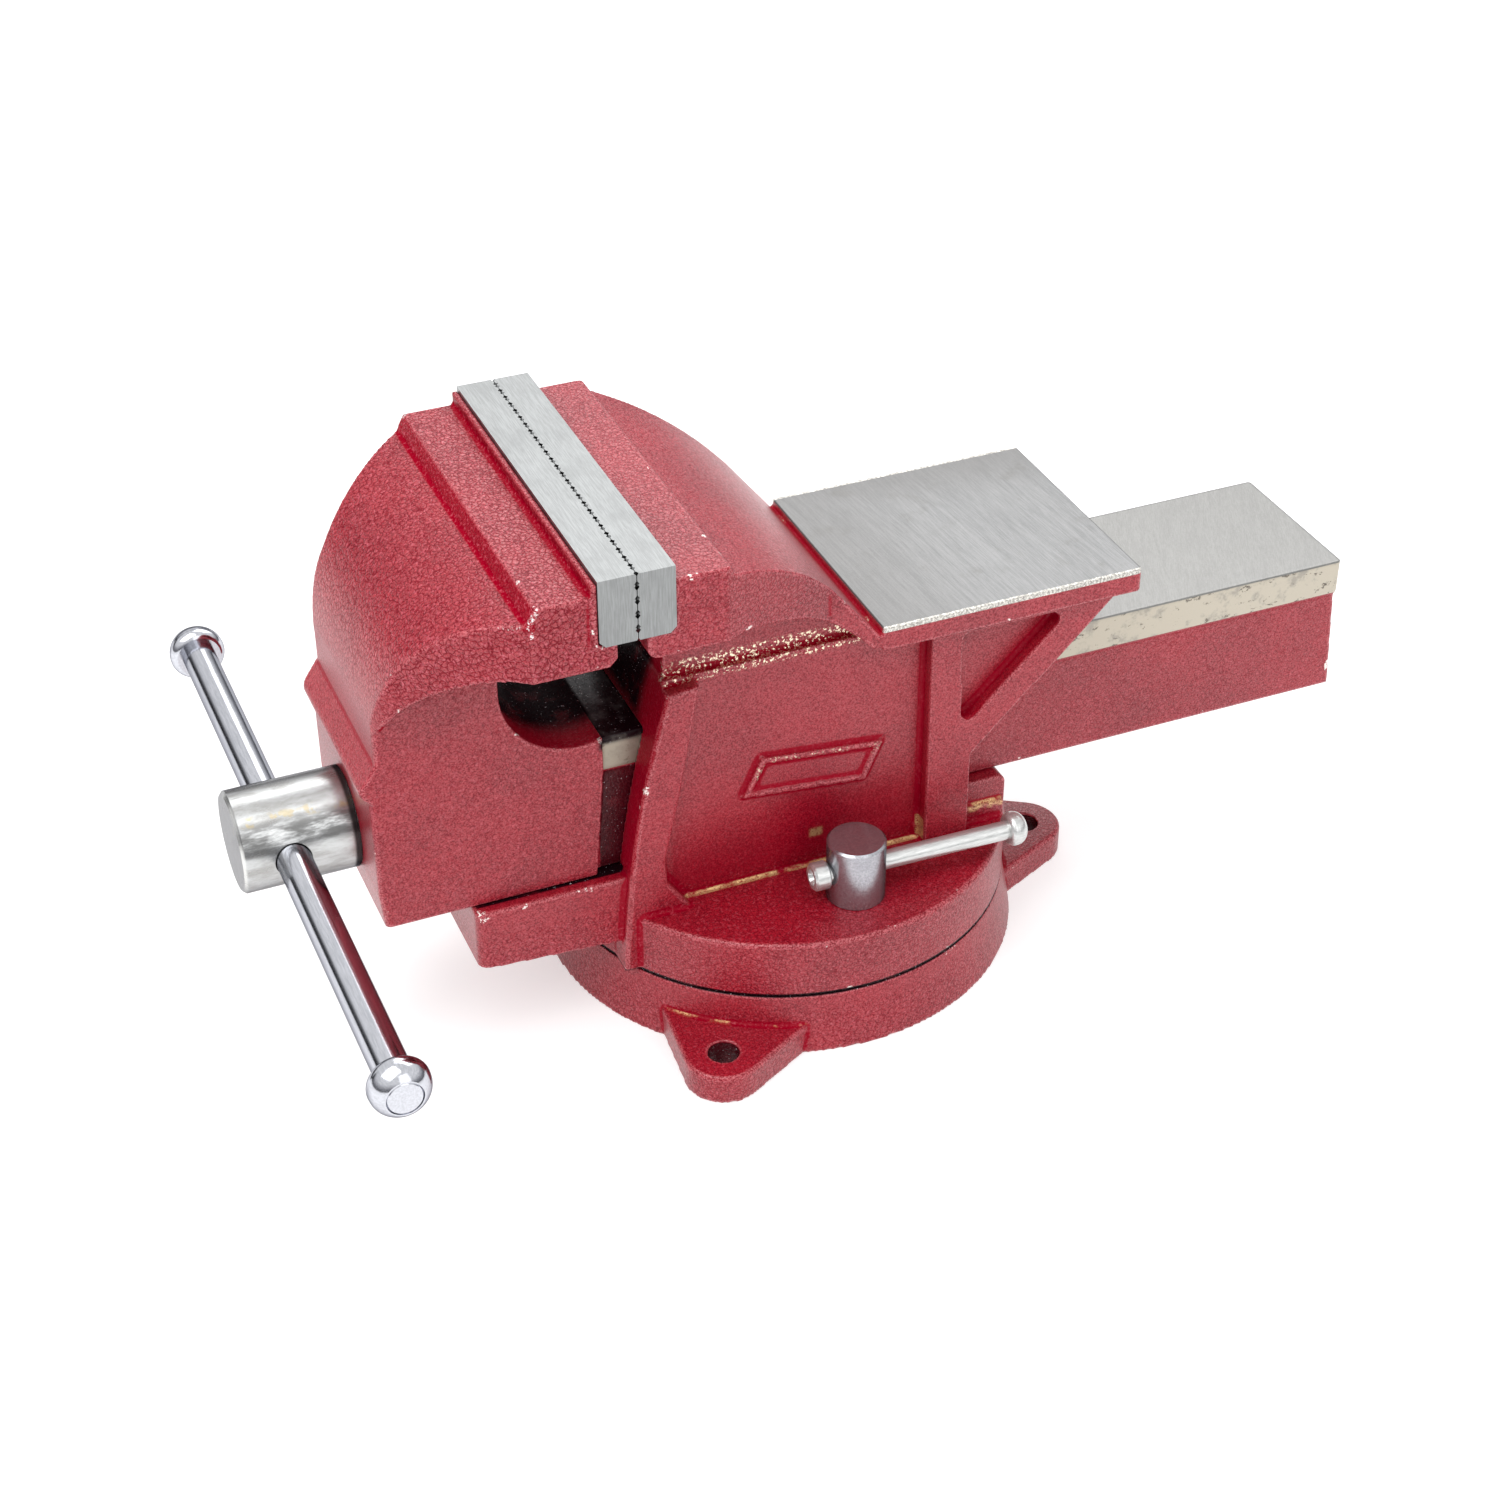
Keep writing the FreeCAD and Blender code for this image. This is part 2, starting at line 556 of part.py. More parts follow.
def spindle():
    """The main screw in one piece with its head. The thread is made as rings of the same pitch."""
    chamfer = 1.2
    head_rear = JAW_FRONT_Y - GAP
    profile = [
        (HEAD_FRONT_Y, 0.0), (HEAD_FRONT_Y, HEAD_R - chamfer), (HEAD_FRONT_Y + chamfer, HEAD_R),
        (head_rear, HEAD_R), (head_rear, JOURNAL_R), (THREAD_START_Y - 3, JOURNAL_R),
        (THREAD_START_Y, THREAD_ROOT_R),
    ]
    flank = 0.8
    crest = THREAD_PITCH / 2 - flank
    for turn in range(THREAD_TURNS):
        foot = THREAD_START_Y + turn * THREAD_PITCH + crest
        profile += [
            (foot, THREAD_ROOT_R), (foot + flank, THREAD_R),
            (foot + flank + crest, THREAD_R), (foot + 2 * flank + crest, THREAD_ROOT_R),
        ]
    profile += [
        (SCREW_END_Y - 1.5, THREAD_ROOT_R), (SCREW_END_Y, THREAD_ROOT_R - 1.5),
        (SCREW_END_Y, 0.0),
    ]
    screw = turned(profile, on_screw(0), AXIS_Y)
    bar_hole = rod(BAR_R + 0.35, V(-40, BAR_Y, SCREW_AXIS_Z), V(40, BAR_Y, SCREW_AXIS_Z))
    pin_y = RETAINING_WASHER_Y + RETAINING_WASHER_THICKNESS + COTTER_R
    pin_hole = upright(COTTER_R + 0.05, 0, pin_y, SCREW_AXIS_Z - 20, SCREW_AXIS_Z + 20)
    return screw.cut([bar_hole, pin_hole])


def washer_on_screw(front_y, thickness, outer):
    disc = rod(outer, on_screw(front_y), on_screw(front_y + thickness))
    return disc.cut(rod(JOURNAL_R, on_screw(front_y), on_screw(front_y + thickness)))


def spindle_spring():
    """The light spring that draws the jaw back with the screw, coiled in quarter turns."""
    first_y = JAW_FRONT_Y + FRONT_WALL_THICKNESS + GAP + SPRING_WIRE_R
    length = RETAINING_WASHER_Y - SPRING_WIRE_R - first_y
    coil_r = JOURNAL_R + SPRING_WIRE_R + 0.4

    def on_coil(turns):
        angle = 2 * math.pi * turns
        return V(coil_r * math.cos(angle), coil_r * math.sin(angle), length * turns / SPRING_TURNS)

    quarters = [
        Part.Arc(on_coil(step / 4), on_coil((step + 0.5) / 4), on_coil((step + 1) / 4)).toShape()
        for step in range(4 * SPRING_TURNS)
    ]
    start = quarters[0].tangentAt(quarters[0].FirstParameter)
    wire_section = Part.Wire(Part.makeCircle(SPRING_WIRE_R, on_coil(0), start))
    spring = Part.Wire(quarters).makePipeShell([wire_section], True, True)
    spring.Placement = FreeCAD.Placement(on_screw(first_y), FreeCAD.Rotation(AXIS_Z, AXIS_Y))
    return spring


def cotter_pin():
    """A split pin through the screw: two half-round legs side by side and an eye."""
    y = RETAINING_WASHER_Y + RETAINING_WASHER_THICKNESS + COTTER_R
    leg = upright(COTTER_R, 0, y, SCREW_AXIS_Z - 17, SCREW_AXIS_Z + 14)
    slit = box(-3, 3, y - 0.2, y + 0.2, SCREW_AXIS_Z - 18, SCREW_AXIS_Z - 13)
    eye = Part.makeTorus(2.2, 1.1, V(0, y, SCREW_AXIS_Z + 15.4), AXIS_Y)
    return fuse(leg.cut(slit), eye)


def spindle_nut():
    """The nut block that stands on the channel floor and carries the screw."""
    foot = wide_box(NUT_HALF_WIDTH, NUT_FRONT_Y, NUT_REAR_Y, CHANNEL_FLOOR_Z, SCREW_AXIS_Z)
    barrel = rod(NUT_HALF_WIDTH, on_screw(NUT_FRONT_Y), on_screw(NUT_REAR_Y))
    block = fuse(foot, barrel)
    bore = rod(THREAD_R + RUNNING_FIT, on_screw(NUT_FRONT_Y), on_screw(NUT_REAR_Y))
    holes = [bore]
    for y in NUT_BOLT_YS:
        holes.append(upright(NUT_BOLT_R, 0, y, CHANNEL_FLOOR_Z, CHANNEL_FLOOR_Z + 10.5))
    return block.cut(holes)


def nut_bolts():
    bolts = []
    head_top = NUT_POCKET_TOP_Z - 2
    for y in NUT_BOLT_YS:
        head = upright(NUT_BOLT_HEAD_R, 0, y, head_top - 10, head_top)
        shank = upright(NUT_BOLT_R, 0, y, head_top, CHANNEL_FLOOR_Z + 10)
        socket = hexagon(8.0, V(0, y, head_top - 10), AXIS_Z, 5.0)
        bolts.append(fuse(head, shank).cut(socket))
    return Part.makeCompound(bolts)


def nut_bolt_washers():
    washers = []
    for y in NUT_BOLT_YS:
        disc = upright(8.0, 0, y, NUT_POCKET_TOP_Z - 2, NUT_POCKET_TOP_Z)
        washers.append(disc.cut(upright(NUT_BOLT_R, 0, y, 40, 60)))
    return Part.makeCompound(washers)


# ---- centre pivot ----
def pivot_washer():
    return ring(LOCK_SHANK_R, HUB_RECESS_R - 1, SPIGOT_BOTTOM_Z - 3, SPIGOT_BOTTOM_Z)


def pivot_bolt():
    head_top = SPIGOT_BOTTOM_Z - 3
    head = hexagon(19.0, V(0, 0, head_top - 7.5), AXIS_Z, 7.5)
    return fuse(head, upright(LOCK_SHANK_R, 0, 0, head_top, 38.0))


# ---- sliding handle ----
def handle_bar():
    bar = rod(BAR_R, V(BAR_LEFT_X, BAR_Y, SCREW_AXIS_Z), V(BAR_RIGHT_X, BAR_Y, SCREW_AXIS_Z))
    return bar.makeChamfer(0.6, bar.Edges[0:1] + bar.Edges[2:3])


def knob(end_x, outward):
    """A domed knob pressed over one end of the bar, which shows in its outer face."""
    profile = [
        (-KNOB_LENGTH, BAR_R), (-KNOB_LENGTH, KNOB_R - 2.2),
        ((-KNOB_LENGTH + 1.3, KNOB_R - 0.6), (-KNOB_LENGTH + 4.2, KNOB_R)),
        ((-1.6, KNOB_R - 1.9), (0.0, BAR_R + 0.5)), (0.0, BAR_R),
    ]
    return turned(profile, V(end_x, BAR_Y, SCREW_AXIS_Z), AXIS_X * outward)


# ---- swivel locks ----
def splayed(shape):
    """The shape turned about the right lock bolt's axis, so that the rod points outward."""
    shape.rotate(V(LOCK_X, LOCK_Y, 0), AXIS_Z, -LOCK_ROD_SPLAY)
    return shape


def lock_bolt():
    """A swivel lock bolt: round head with a cross hole, on a shank down to its clamp nut."""
    bottom = FLANGE_TOP_Z + GAP
    profile = [
        (LOCK_END_Z, 0.0), (LOCK_END_Z, LOCK_SHANK_R - 1), (LOCK_END_Z + 1, LOCK_SHANK_R),
        (bottom, LOCK_SHANK_R), (bottom, LOCK_HEAD_R), (LOCK_HEAD_TOP_Z - 0.8, LOCK_HEAD_R),
        (LOCK_HEAD_TOP_Z, LOCK_HEAD_R - 0.8), (LOCK_HEAD_TOP_Z, 0.0),
    ]
    bolt = turned(profile, V(LOCK_X, LOCK_Y, 0), AXIS_Z)
    rod_hole = rod(
        LOCK_ROD_R + 0.3, V(LOCK_X, LOCK_Y - 20, LOCK_ROD_Z), V(LOCK_X, LOCK_Y + 20, LOCK_ROD_Z)
    )
    return splayed(bolt.cut(rod_hole))


def clamp_nut():
    """The nut that slides round in the base's T-slot under a lock bolt."""
    block = ring(
        SLOT_R - SLOT_ROOM_HALF_WIDTH + 1, SLOT_R + SLOT_ROOM_HALF_WIDTH - 1,
        SLOT_ROOM_BOTTOM_Z + 1, SLOT_ROOM_TOP_Z - GAP,
    )
    block = block.common(box(SLOT_R - 20, SLOT_R + 20, LOCK_Y - 11, LOCK_Y + 11, 0, 30))
    return block.cut(upright(LOCK_SHANK_R + RUNNING_FIT, LOCK_X, LOCK_Y, 0, 30))


def lock_rod():
    start = V(LOCK_X, LOCK_ROD_FRONT_Y + 2.5, LOCK_ROD_Z)
    end = V(LOCK_X, LOCK_ROD_REAR_Y - 1.5, LOCK_ROD_Z)
    return splayed(rod(LOCK_ROD_R, start, end))


def lock_rod_cap():
    """The plain cap on the rod's short end, countersunk in its outer face."""
    profile = [
        (0.0, 3.2), (0.0, 4.6), (0.9, 5.5), (5.7, 5.5), (6.4, 4.9), (6.4, LOCK_ROD_R),
        (2.5, LOCK_ROD_R), (2.5, 2.2),
    ]
    return splayed(turned(profile, V(LOCK_X, LOCK_ROD_FRONT_Y, LOCK_ROD_Z), AXIS_Y))


def lock_rod_knob():
    """The domed knob on the rod's long end."""
    length = LOCK_ROD_REAR_Y
    profile = [
        (length - 7.5, LOCK_ROD_R), (length - 7.5, 5.4),
        ((length - 6.6, 6.3), (length - 5.0, 6.6)), ((length - 1.2, 5.1), (length, 1.6)),
        (length, 0.0), (length - 1.5, 0.0), (length - 1.5, LOCK_ROD_R),
    ]
    return splayed(turned(profile, V(LOCK_X, 0, LOCK_ROD_Z), AXIS_Y))


def nodes():
    """Every piece of the vise by name."""
    plate = jaw_plate()
    screws = plate_screws()
    thrust_front_y = JAW_FRONT_Y - GAP
    pieces = {
        "swivel_base": swivel_base(),
        "vise_body": vise_body(),
        "rear_jaw_plate": plate,
        "rear_plate_screws": screws,
        "spindle_nut": spindle_nut(),
        "nut_bolts": nut_bolts(),
        "nut_bolt_washers": nut_bolt_washers(),
        "pivot_washer": pivot_washer(),
        "pivot_bolt": pivot_bolt(),
        "movable_jaw": movable_jaw(),
        "front_jaw_plate": to_front_jaw(plate),
        "front_plate_screws": to_front_jaw(screws),
        "spindle": spindle(),
        "thrust_washer": washer_on_screw(
            thrust_front_y, THRUST_WASHER_THICKNESS, THRUST_WASHER_R
        ),
        "spindle_spring": spindle_spring(),
        "retaining_washer": washer_on_screw(
            RETAINING_WASHER_Y, RETAINING_WASHER_THICKNESS, RETAINING_WASHER_R
        ),
        "cotter_pin": cotter_pin(),
        "handle_bar": handle_bar(),
        "handle_knob_right": knob(BAR_RIGHT_X, 1),
        "handle_knob_left": knob(BAR_LEFT_X, -1),
    }
    lock_pieces = {
        "lock_bolt": lock_bolt(),
        "clamp_nut": clamp_nut(),
        "lock_rod": lock_rod(),
        "lock_rod_cap": lock_rod_cap(),
        "lock_rod_knob": lock_rod_knob(),
    }
    for name, shape in lock_pieces.items():
        pieces["right_" + name] = shape
        pieces["left_" + name] = mirrored(shape)
    return pieces


def main():
    os.makedirs("parts", exist_ok=True)
    for name, shape in nodes().items():
        if not shape.isValid():
            print("not valid:", name)
        print(name, len(shape.Solids), "solid(s),", round(shape.Volume), "mm3")
        shape.exportStep("parts/" + name + ".step")


main()
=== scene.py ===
import math

import bpy
import numpy as np
from mathutils import Matrix, Vector


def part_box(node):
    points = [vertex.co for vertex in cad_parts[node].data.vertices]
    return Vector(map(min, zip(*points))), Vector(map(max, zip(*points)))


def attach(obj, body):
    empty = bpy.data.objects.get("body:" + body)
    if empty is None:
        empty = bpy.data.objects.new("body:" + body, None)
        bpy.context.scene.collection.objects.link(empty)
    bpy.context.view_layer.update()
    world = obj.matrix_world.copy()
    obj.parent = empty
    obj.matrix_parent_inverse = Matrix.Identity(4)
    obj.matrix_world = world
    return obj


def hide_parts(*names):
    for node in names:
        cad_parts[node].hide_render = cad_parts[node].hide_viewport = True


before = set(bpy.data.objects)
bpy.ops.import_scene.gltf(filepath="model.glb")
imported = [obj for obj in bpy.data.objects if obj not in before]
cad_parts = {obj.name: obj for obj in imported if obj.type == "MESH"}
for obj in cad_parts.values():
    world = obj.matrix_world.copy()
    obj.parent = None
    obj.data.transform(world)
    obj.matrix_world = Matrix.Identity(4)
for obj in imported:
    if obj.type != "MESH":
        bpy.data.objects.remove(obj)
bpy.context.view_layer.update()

# A bench vise: three painted castings, ground steel faces, a chromed handle and two swivel locks.
# Everything is in metres, in the frame of the CAD model, and each finish is placed by that frame.

MM = 0.001


# ---- camera, floor and light ----
CAMERA_TARGET = (0.00098, -0.01175, 0.07761)
CAMERA_AZIMUTH = 67.26
CAMERA_ELEVATION = 35.17
CAMERA_DISTANCE = 1.04853
CAMERA_ROLL = -0.2
CAMERA_LENS = 64.99
SENSOR_WIDTH = 36.0
FLOOR_HALF_WIDTH = 3.0
FLOOR_Z = -0.3 * MM             # just under the vise, so that the two never share a plane
LIGHTS_AIM = (0, 0, 0.1)


def direction(azimuth, elevation):
    """The unit vector from the object towards a viewer. Azimuth 0 looks along +Y."""
    a = math.radians(azimuth)
    e = math.radians(elevation)
    return Vector((math.sin(a) * math.cos(e), -math.cos(a) * math.cos(e), math.sin(e)))


def make_camera():
    """The camera at its place in front of the vise, rolled slightly about its own axis."""
    back = direction(CAMERA_AZIMUTH, CAMERA_ELEVATION)
    right = (-back).cross(Vector((0, 0, 1))).normalized()
    up = right.cross(-back)
    data = bpy.data.cameras.new("camera")
    data.sensor_width = SENSOR_WIDTH
    data.lens = CAMERA_LENS
    data.clip_start = 0.05
    data.clip_end = 50.0
    camera = bpy.data.objects.new("camera", data)
    roll = Matrix.Rotation(math.radians(CAMERA_ROLL), 3, "Z")
    turn = Matrix((right, up, back)).transposed() @ roll
    place = Vector(CAMERA_TARGET) + back * CAMERA_DISTANCE
    camera.matrix_world = Matrix.Translation(place) @ turn.to_4x4()
    bpy.context.scene.collection.objects.link(camera)
    bpy.context.scene.camera = camera


def area_light(name, azimuth, elevation, distance, width, height, power):
    """A soft white light that faces the vise."""
    data = bpy.data.lights.new(name, "AREA")
    data.shape = "RECTANGLE"
    data.size = width
    data.size_y = height
    data.energy = power
    light = bpy.data.objects.new(name, data)
    towards = direction(azimuth, elevation)
    light.location = Vector(LIGHTS_AIM) + towards * distance
    light.rotation_mode = "QUATERNION"
    light.rotation_quaternion = towards.to_track_quat("Z", "Y")
    bpy.context.scene.collection.objects.link(light)


def make_world():
    """A white room, darker near the horizon and on one side, to shape the sheen on the paint."""
    world = bpy.data.worlds.new("studio")
    world.use_nodes = True
    tree = world.node_tree
    background = tree.nodes["Background"]
    place = tree.nodes.new("ShaderNodeTexCoord")
    split = tree.nodes.new("ShaderNodeSeparateXYZ")
    ramp = tree.nodes.new("ShaderNodeValToRGB")
    tree.links.new(place.outputs["Generated"], split.inputs[0])
    tree.links.new(split.outputs["Z"], ramp.inputs[0])
    tree.links.new(ramp.outputs[0], background.inputs[0])
    ramp.color_ramp.elements[0].color = (0.10, 0.10, 0.11, 1)
    ramp.color_ramp.elements[0].position = 0.02
    ramp.color_ramp.elements[1].color = (1, 1, 1, 1)
    ramp.color_ramp.elements[1].position = 0.42
    middle = ramp.color_ramp.elements.new(0.18)
    middle.color = (0.40, 0.40, 0.42, 1)
    shade = tree.nodes.new("ShaderNodeVectorMath")
    shade.operation = "DOT_PRODUCT"
    tree.links.new(place.outputs["Generated"], shade.inputs[0])
    shade.inputs[1].default_value = direction(310, 1)
    dim = tree.nodes.new("ShaderNodeMapRange")
    dim.interpolation_type = "SMOOTHSTEP"
    tree.links.new(shade.outputs["Value"], dim.inputs["Value"])
    for socket, value in (("From Min", 0.94), ("From Max", 0.99), ("To Min", 1.0), ("To Max", 0.2)):
        dim.inputs[socket].default_value = value
    tree.links.new(dim.outputs[0], background.inputs[1])
    bpy.context.scene.world = world


def make_floor():
    """A plain pale floor that also glows a little."""
    half = FLOOR_HALF_WIDTH
    mesh = bpy.data.meshes.new("floor")
    corners = [(-half, -half, 0), (half, -half, 0), (half, half, 0), (-half, half, 0)]
    mesh.from_pydata(corners, [], [(0, 1, 2, 3)])
    floor = bpy.data.objects.new("floor", mesh)
    floor.location.z = FLOOR_Z
    bpy.context.scene.collection.objects.link(floor)
    shader = Shader("floor")
    shader.surface.inputs["Base Color"].default_value = (0.62, 0.62, 0.62, 1)
    shader.surface.inputs["Roughness"].default_value = 0.9
    shader.surface.inputs["Specular IOR Level"].default_value = 0.1
    shader.surface.inputs["Emission Color"].default_value = (1, 1, 1, 1)
    shader.surface.inputs["Emission Strength"].default_value = 0.5
    floor.data.materials.append(shader.material)


def make_stage():
    make_camera()
    make_world()
    make_floor()
    area_light("key", 20, 62, 1.6, 1.4, 1.4, 17)
    area_light("side", 100, 30, 1.8, 1.0, 1.6, 5)
    area_light("back", 235, 45, 1.8, 1.6, 1.2, 13)


# ---- shader nodes ----
class Shader:
    """One material, with short calls for its nodes. Sizes are in metres on the object."""

    def __init__(self, name):
        self.material = bpy.data.materials.new(name)
        self.material.use_nodes = True
        self.tree = self.material.node_tree
        self.tree.nodes.clear()
        output = self.tree.nodes.new("ShaderNodeOutputMaterial")
        self.surface = self.tree.nodes.new("ShaderNodeBsdfPrincipled")
        self.tree.links.new(self.surface.outputs[0], output.inputs[0])
        self.place = self.node("ShaderNodeTexCoord").outputs["Object"]
        split = self.node("ShaderNodeSeparateXYZ", {0: self.place})
        self.x, self.y, self.z = split.outputs

    def node(self, kind, inputs=None, **settings):
        made = self.tree.nodes.new(kind)
        for name, value in settings.items():
            setattr(made, name, value)
        for socket, value in (inputs or {}).items():
            self.feed(made.inputs[socket], value)
        return made

    def feed(self, socket, value):
        """Links a socket to another, or sets its number or colour."""
        if isinstance(value, bpy.types.NodeSocket):
            self.tree.links.new(value, socket)
        elif isinstance(value, tuple) and len(value) == 3 and socket.type == "RGBA":
            socket.default_value = (*value, 1)
        else:
            socket.default_value = value

    def math(self, operation, a, b=0.0):
        return self.node("ShaderNodeMath", {0: a, 1: b}, operation=operation).outputs[0]

    def times(self, *values):
        product = values[0]
        for value in values[1:]:
            product = self.math("MULTIPLY", product, value)
        return product

    def plus(self, a, b):
        return self.math("ADD", a, b)

    def most(self, *values):
        """The largest of the values."""
        largest = values[0]
        for value in values[1:]:
            largest = self.math("MAXIMUM", largest, value)
        return largest

    def rest(self, value):
        """One minus the value."""
        return self.math("SUBTRACT", 1.0, value)

    def step(self, value, low, high):
        """0 below low, 1 above high, and smooth between."""
        made = self.node(
            "ShaderNodeMapRange", {"Value": value, "From Min": low, "From Max": high},
            interpolation_type="SMOOTHSTEP",
        )
        return made.outputs[0]

    def between(self, value, low, high, soft=0.2 * MM):
        """1 from low to high, with soft ends."""
        return self.times(
            self.step(value, low - soft, low + soft),
            self.rest(self.step(value, high - soft, high + soft)),
        )

    def region(self, x=None, y=None, z=None, soft=0.2 * MM):
        """1 inside a box given by (low, high) pairs, on both sides of the plane X = 0."""
        shares = []
        for value, limits in ((self.math("ABSOLUTE", self.x), x), (self.y, y), (self.z, z)):
            if limits:
                shares.append(self.between(value, *limits, soft))
        return self.times(*shares)

    def mix(self, share, a, b):
        """From the colour a to the colour b, by a share from 0 to 1."""
        made = self.node("ShaderNodeMix", data_type="RGBA")
        self.feed(made.inputs["Factor"], share)
        self.feed(made.inputs[6], a)
        self.feed(made.inputs[7], b)
        return made.outputs[2]

    def blend(self, share, a, b):
        """Like mix, for numbers."""
        made = self.node("ShaderNodeMix", data_type="FLOAT")
        self.feed(made.inputs["Factor"], share)
        self.feed(made.inputs[2], a)
        self.feed(made.inputs[3], b)
        return made.outputs[0]

    def stretched(self, stretch, turn=(0, 0, 0)):
        """Coordinates that make a texture longer along an axis where stretch is large."""
        scale = tuple(1 / s for s in stretch)
        turned = self.node(
            "ShaderNodeMapping", {"Vector": self.place, "Rotation": tuple(map(math.radians, turn))}
        )
        return self.node(
            "ShaderNodeMapping", {"Vector": turned.outputs[0], "Scale": scale}
        ).outputs[0]

    def noise(self, size, detail, roughness, place=None, offset=0.0):
        """Noise with lumps of the given size. Each offset gives a different pattern."""
        made = self.node("ShaderNodeTexNoise", {
            "Vector": place or self.place, "Scale": 1 / size, "Detail": detail,
            "Roughness": roughness, "W": offset,
        }, noise_dimensions="4D")
        return made.outputs[0]

    def cell_borders(self, size, place):
        """How far a point is from the border of its cell, in a pattern of uneven cells."""
        made = self.node(
            "ShaderNodeTexVoronoi", {"Vector": place, "Scale": 1 / size}, feature="DISTANCE_TO_EDGE"
        )
        return made.outputs["Distance"]

    def warped(self, size, amount):
        """The coordinates, pushed about by noise."""
        push = self.node("ShaderNodeTexNoise", {
            "Vector": self.place, "Scale": 1 / size, "Detail": 1.0,
        }).outputs["Color"]
        centred = self.node(
            "ShaderNodeVectorMath", {0: push, 1: (0.5, 0.5, 0.5)}, operation="SUBTRACT"
        ).outputs[0]
        scaled = self.node("ShaderNodeVectorMath", {0: centred}, operation="SCALE")
        scaled.inputs["Scale"].default_value = amount
        return self.node(
            "ShaderNodeVectorMath", {0: self.place, 1: scaled.outputs[0]}, operation="ADD"
        ).outputs[0]

    def attribute(self, name):
        """A number stored at the mesh's points."""
        return self.node("ShaderNodeAttribute", attribute_name=name).outputs["Fac"]

    def bump(self, height, distance, strength=1.0, normal=None):
        made = self.node("ShaderNodeBump", {
            "Height": height, "Distance": distance, "Strength": strength,
        })
        if normal:
            self.feed(made.inputs["Normal"], normal)
        return made.outputs[0]

    def finish(self, **sockets):
        """Sets the surface's sockets. An underscore in a name stands for a space."""
        for name, value in sockets.items():
            self.feed(self.surface.inputs[name.replace("_", " ")], value)
        return self.material


# ---- places on the castings ----
BASE_TOP_Z = 24.0 * MM
FLANGE_TOP_Z = 48.5 * MM
LUG_ANGLES = (-33.7, 86.3, 206.3)
LUG_CIRCLE_R = 108.3 * MM
LUG_HOLE_R = 6 * MM
LUG_TOP_Z = 12.0 * MM
WALL_HALF_WIDTH = 41.0 * MM
NECK_HALF_WIDTH = 38.2 * MM
ANVIL_FRONT_Y = 19.8 * MM
ANVIL_HALF_WIDTH = 51.3 * MM
ANVIL_TOP_Z = 154.7 * MM
BAR_HALF_WIDTH = 34.7 * MM
BAR_TOP_Z = 124.7 * MM
BAR_STRIP_Z = 110.4 * MM        # lower edge of the ground strip on each side of the bar
BAR_BOTTOM_Z = 66.0 * MM
JAWS_MEET_Y = -83.0 * MM
THROAT_Y = (-126.0 * MM, JAWS_MEET_Y)
THROAT_Z = (124.6 * MM, 181.0 * MM)
HEAD_STEP_Y = (-122.4 * MM, -118.6 * MM)
HEAD_SIDE_X = (71.0 * MM, 76.0 * MM)
SCREW_AXIS_Z = 92.0 * MM
SCREW_END_Y = -214.4 * MM
JAW_FRONT_Y = -171.0 * MM       # the boss that the screw's head bears on


def out_to(half_width):
    """The limits of X for a region that reaches outward from the middle."""
    return -half_width, half_width


# ---- finishes ----
DEEP_RED = (0.17, 0.0, 0.008)
BRIGHT_RED = (0.41, 0.003, 0.018)
CREASE_RED = (0.09, 0.0, 0.006)
# Painted shade: a dull crimson for concave corners and for faces that light hardly reaches.
SHADE_CRIMSON = (0.28, 0.0, 0.012)
# Painted highlight: light pink flecks where the hammered cells catch the light.
HIGHLIGHT_PINK = (0.62, 0.11, 0.15)
# Painted highlight: a lighter pink line along sharp edges.
EDGE_HIGHLIGHT_PINK = (0.62, 0.17, 0.19)
# Small bare-metal chips on edges, drawn near white as painted glints.
CHIP_GLINT_WHITE = (0.86, 0.74, 0.70)
# Painted glint colour for thin yellow lines in fillets and a few spots.
GLINT_GOLD = (0.66, 0.42, 0.20)
WARM_GLINT = (0.95, 0.82, 0.60)
PINK_GLINT = (0.95, 0.84, 0.84)
# Old grease, and painted shade in the same black.
GREASE_AND_SHADE_BLACK = (0.010, 0.002, 0.004)
# Painted glints on the grease and on the painted shade.
GREASE_GLINT = (0.75, 0.72, 0.75)
DARK_RIM = (0.30, 0.30, 0.32)   # reflection at a grazing angle, on plating and on the screw

CELL_SIZE = 2.0 * MM            # the hammered pattern of the paint
PIT_SIZE = 0.8 * MM
GRAIN_SIZE = 0.6 * MM
FLECK_SIZE = 1.2 * MM
CHIP_SIZE = 9 * MM
PAINT_RELIEF = 0.24 * MM
SWELL_SIZE = 8 * MM             # the slow unevenness of the cast surface
SWELL_RELIEF = 0.4 * MM
STEEL_METALLIC = 0.92


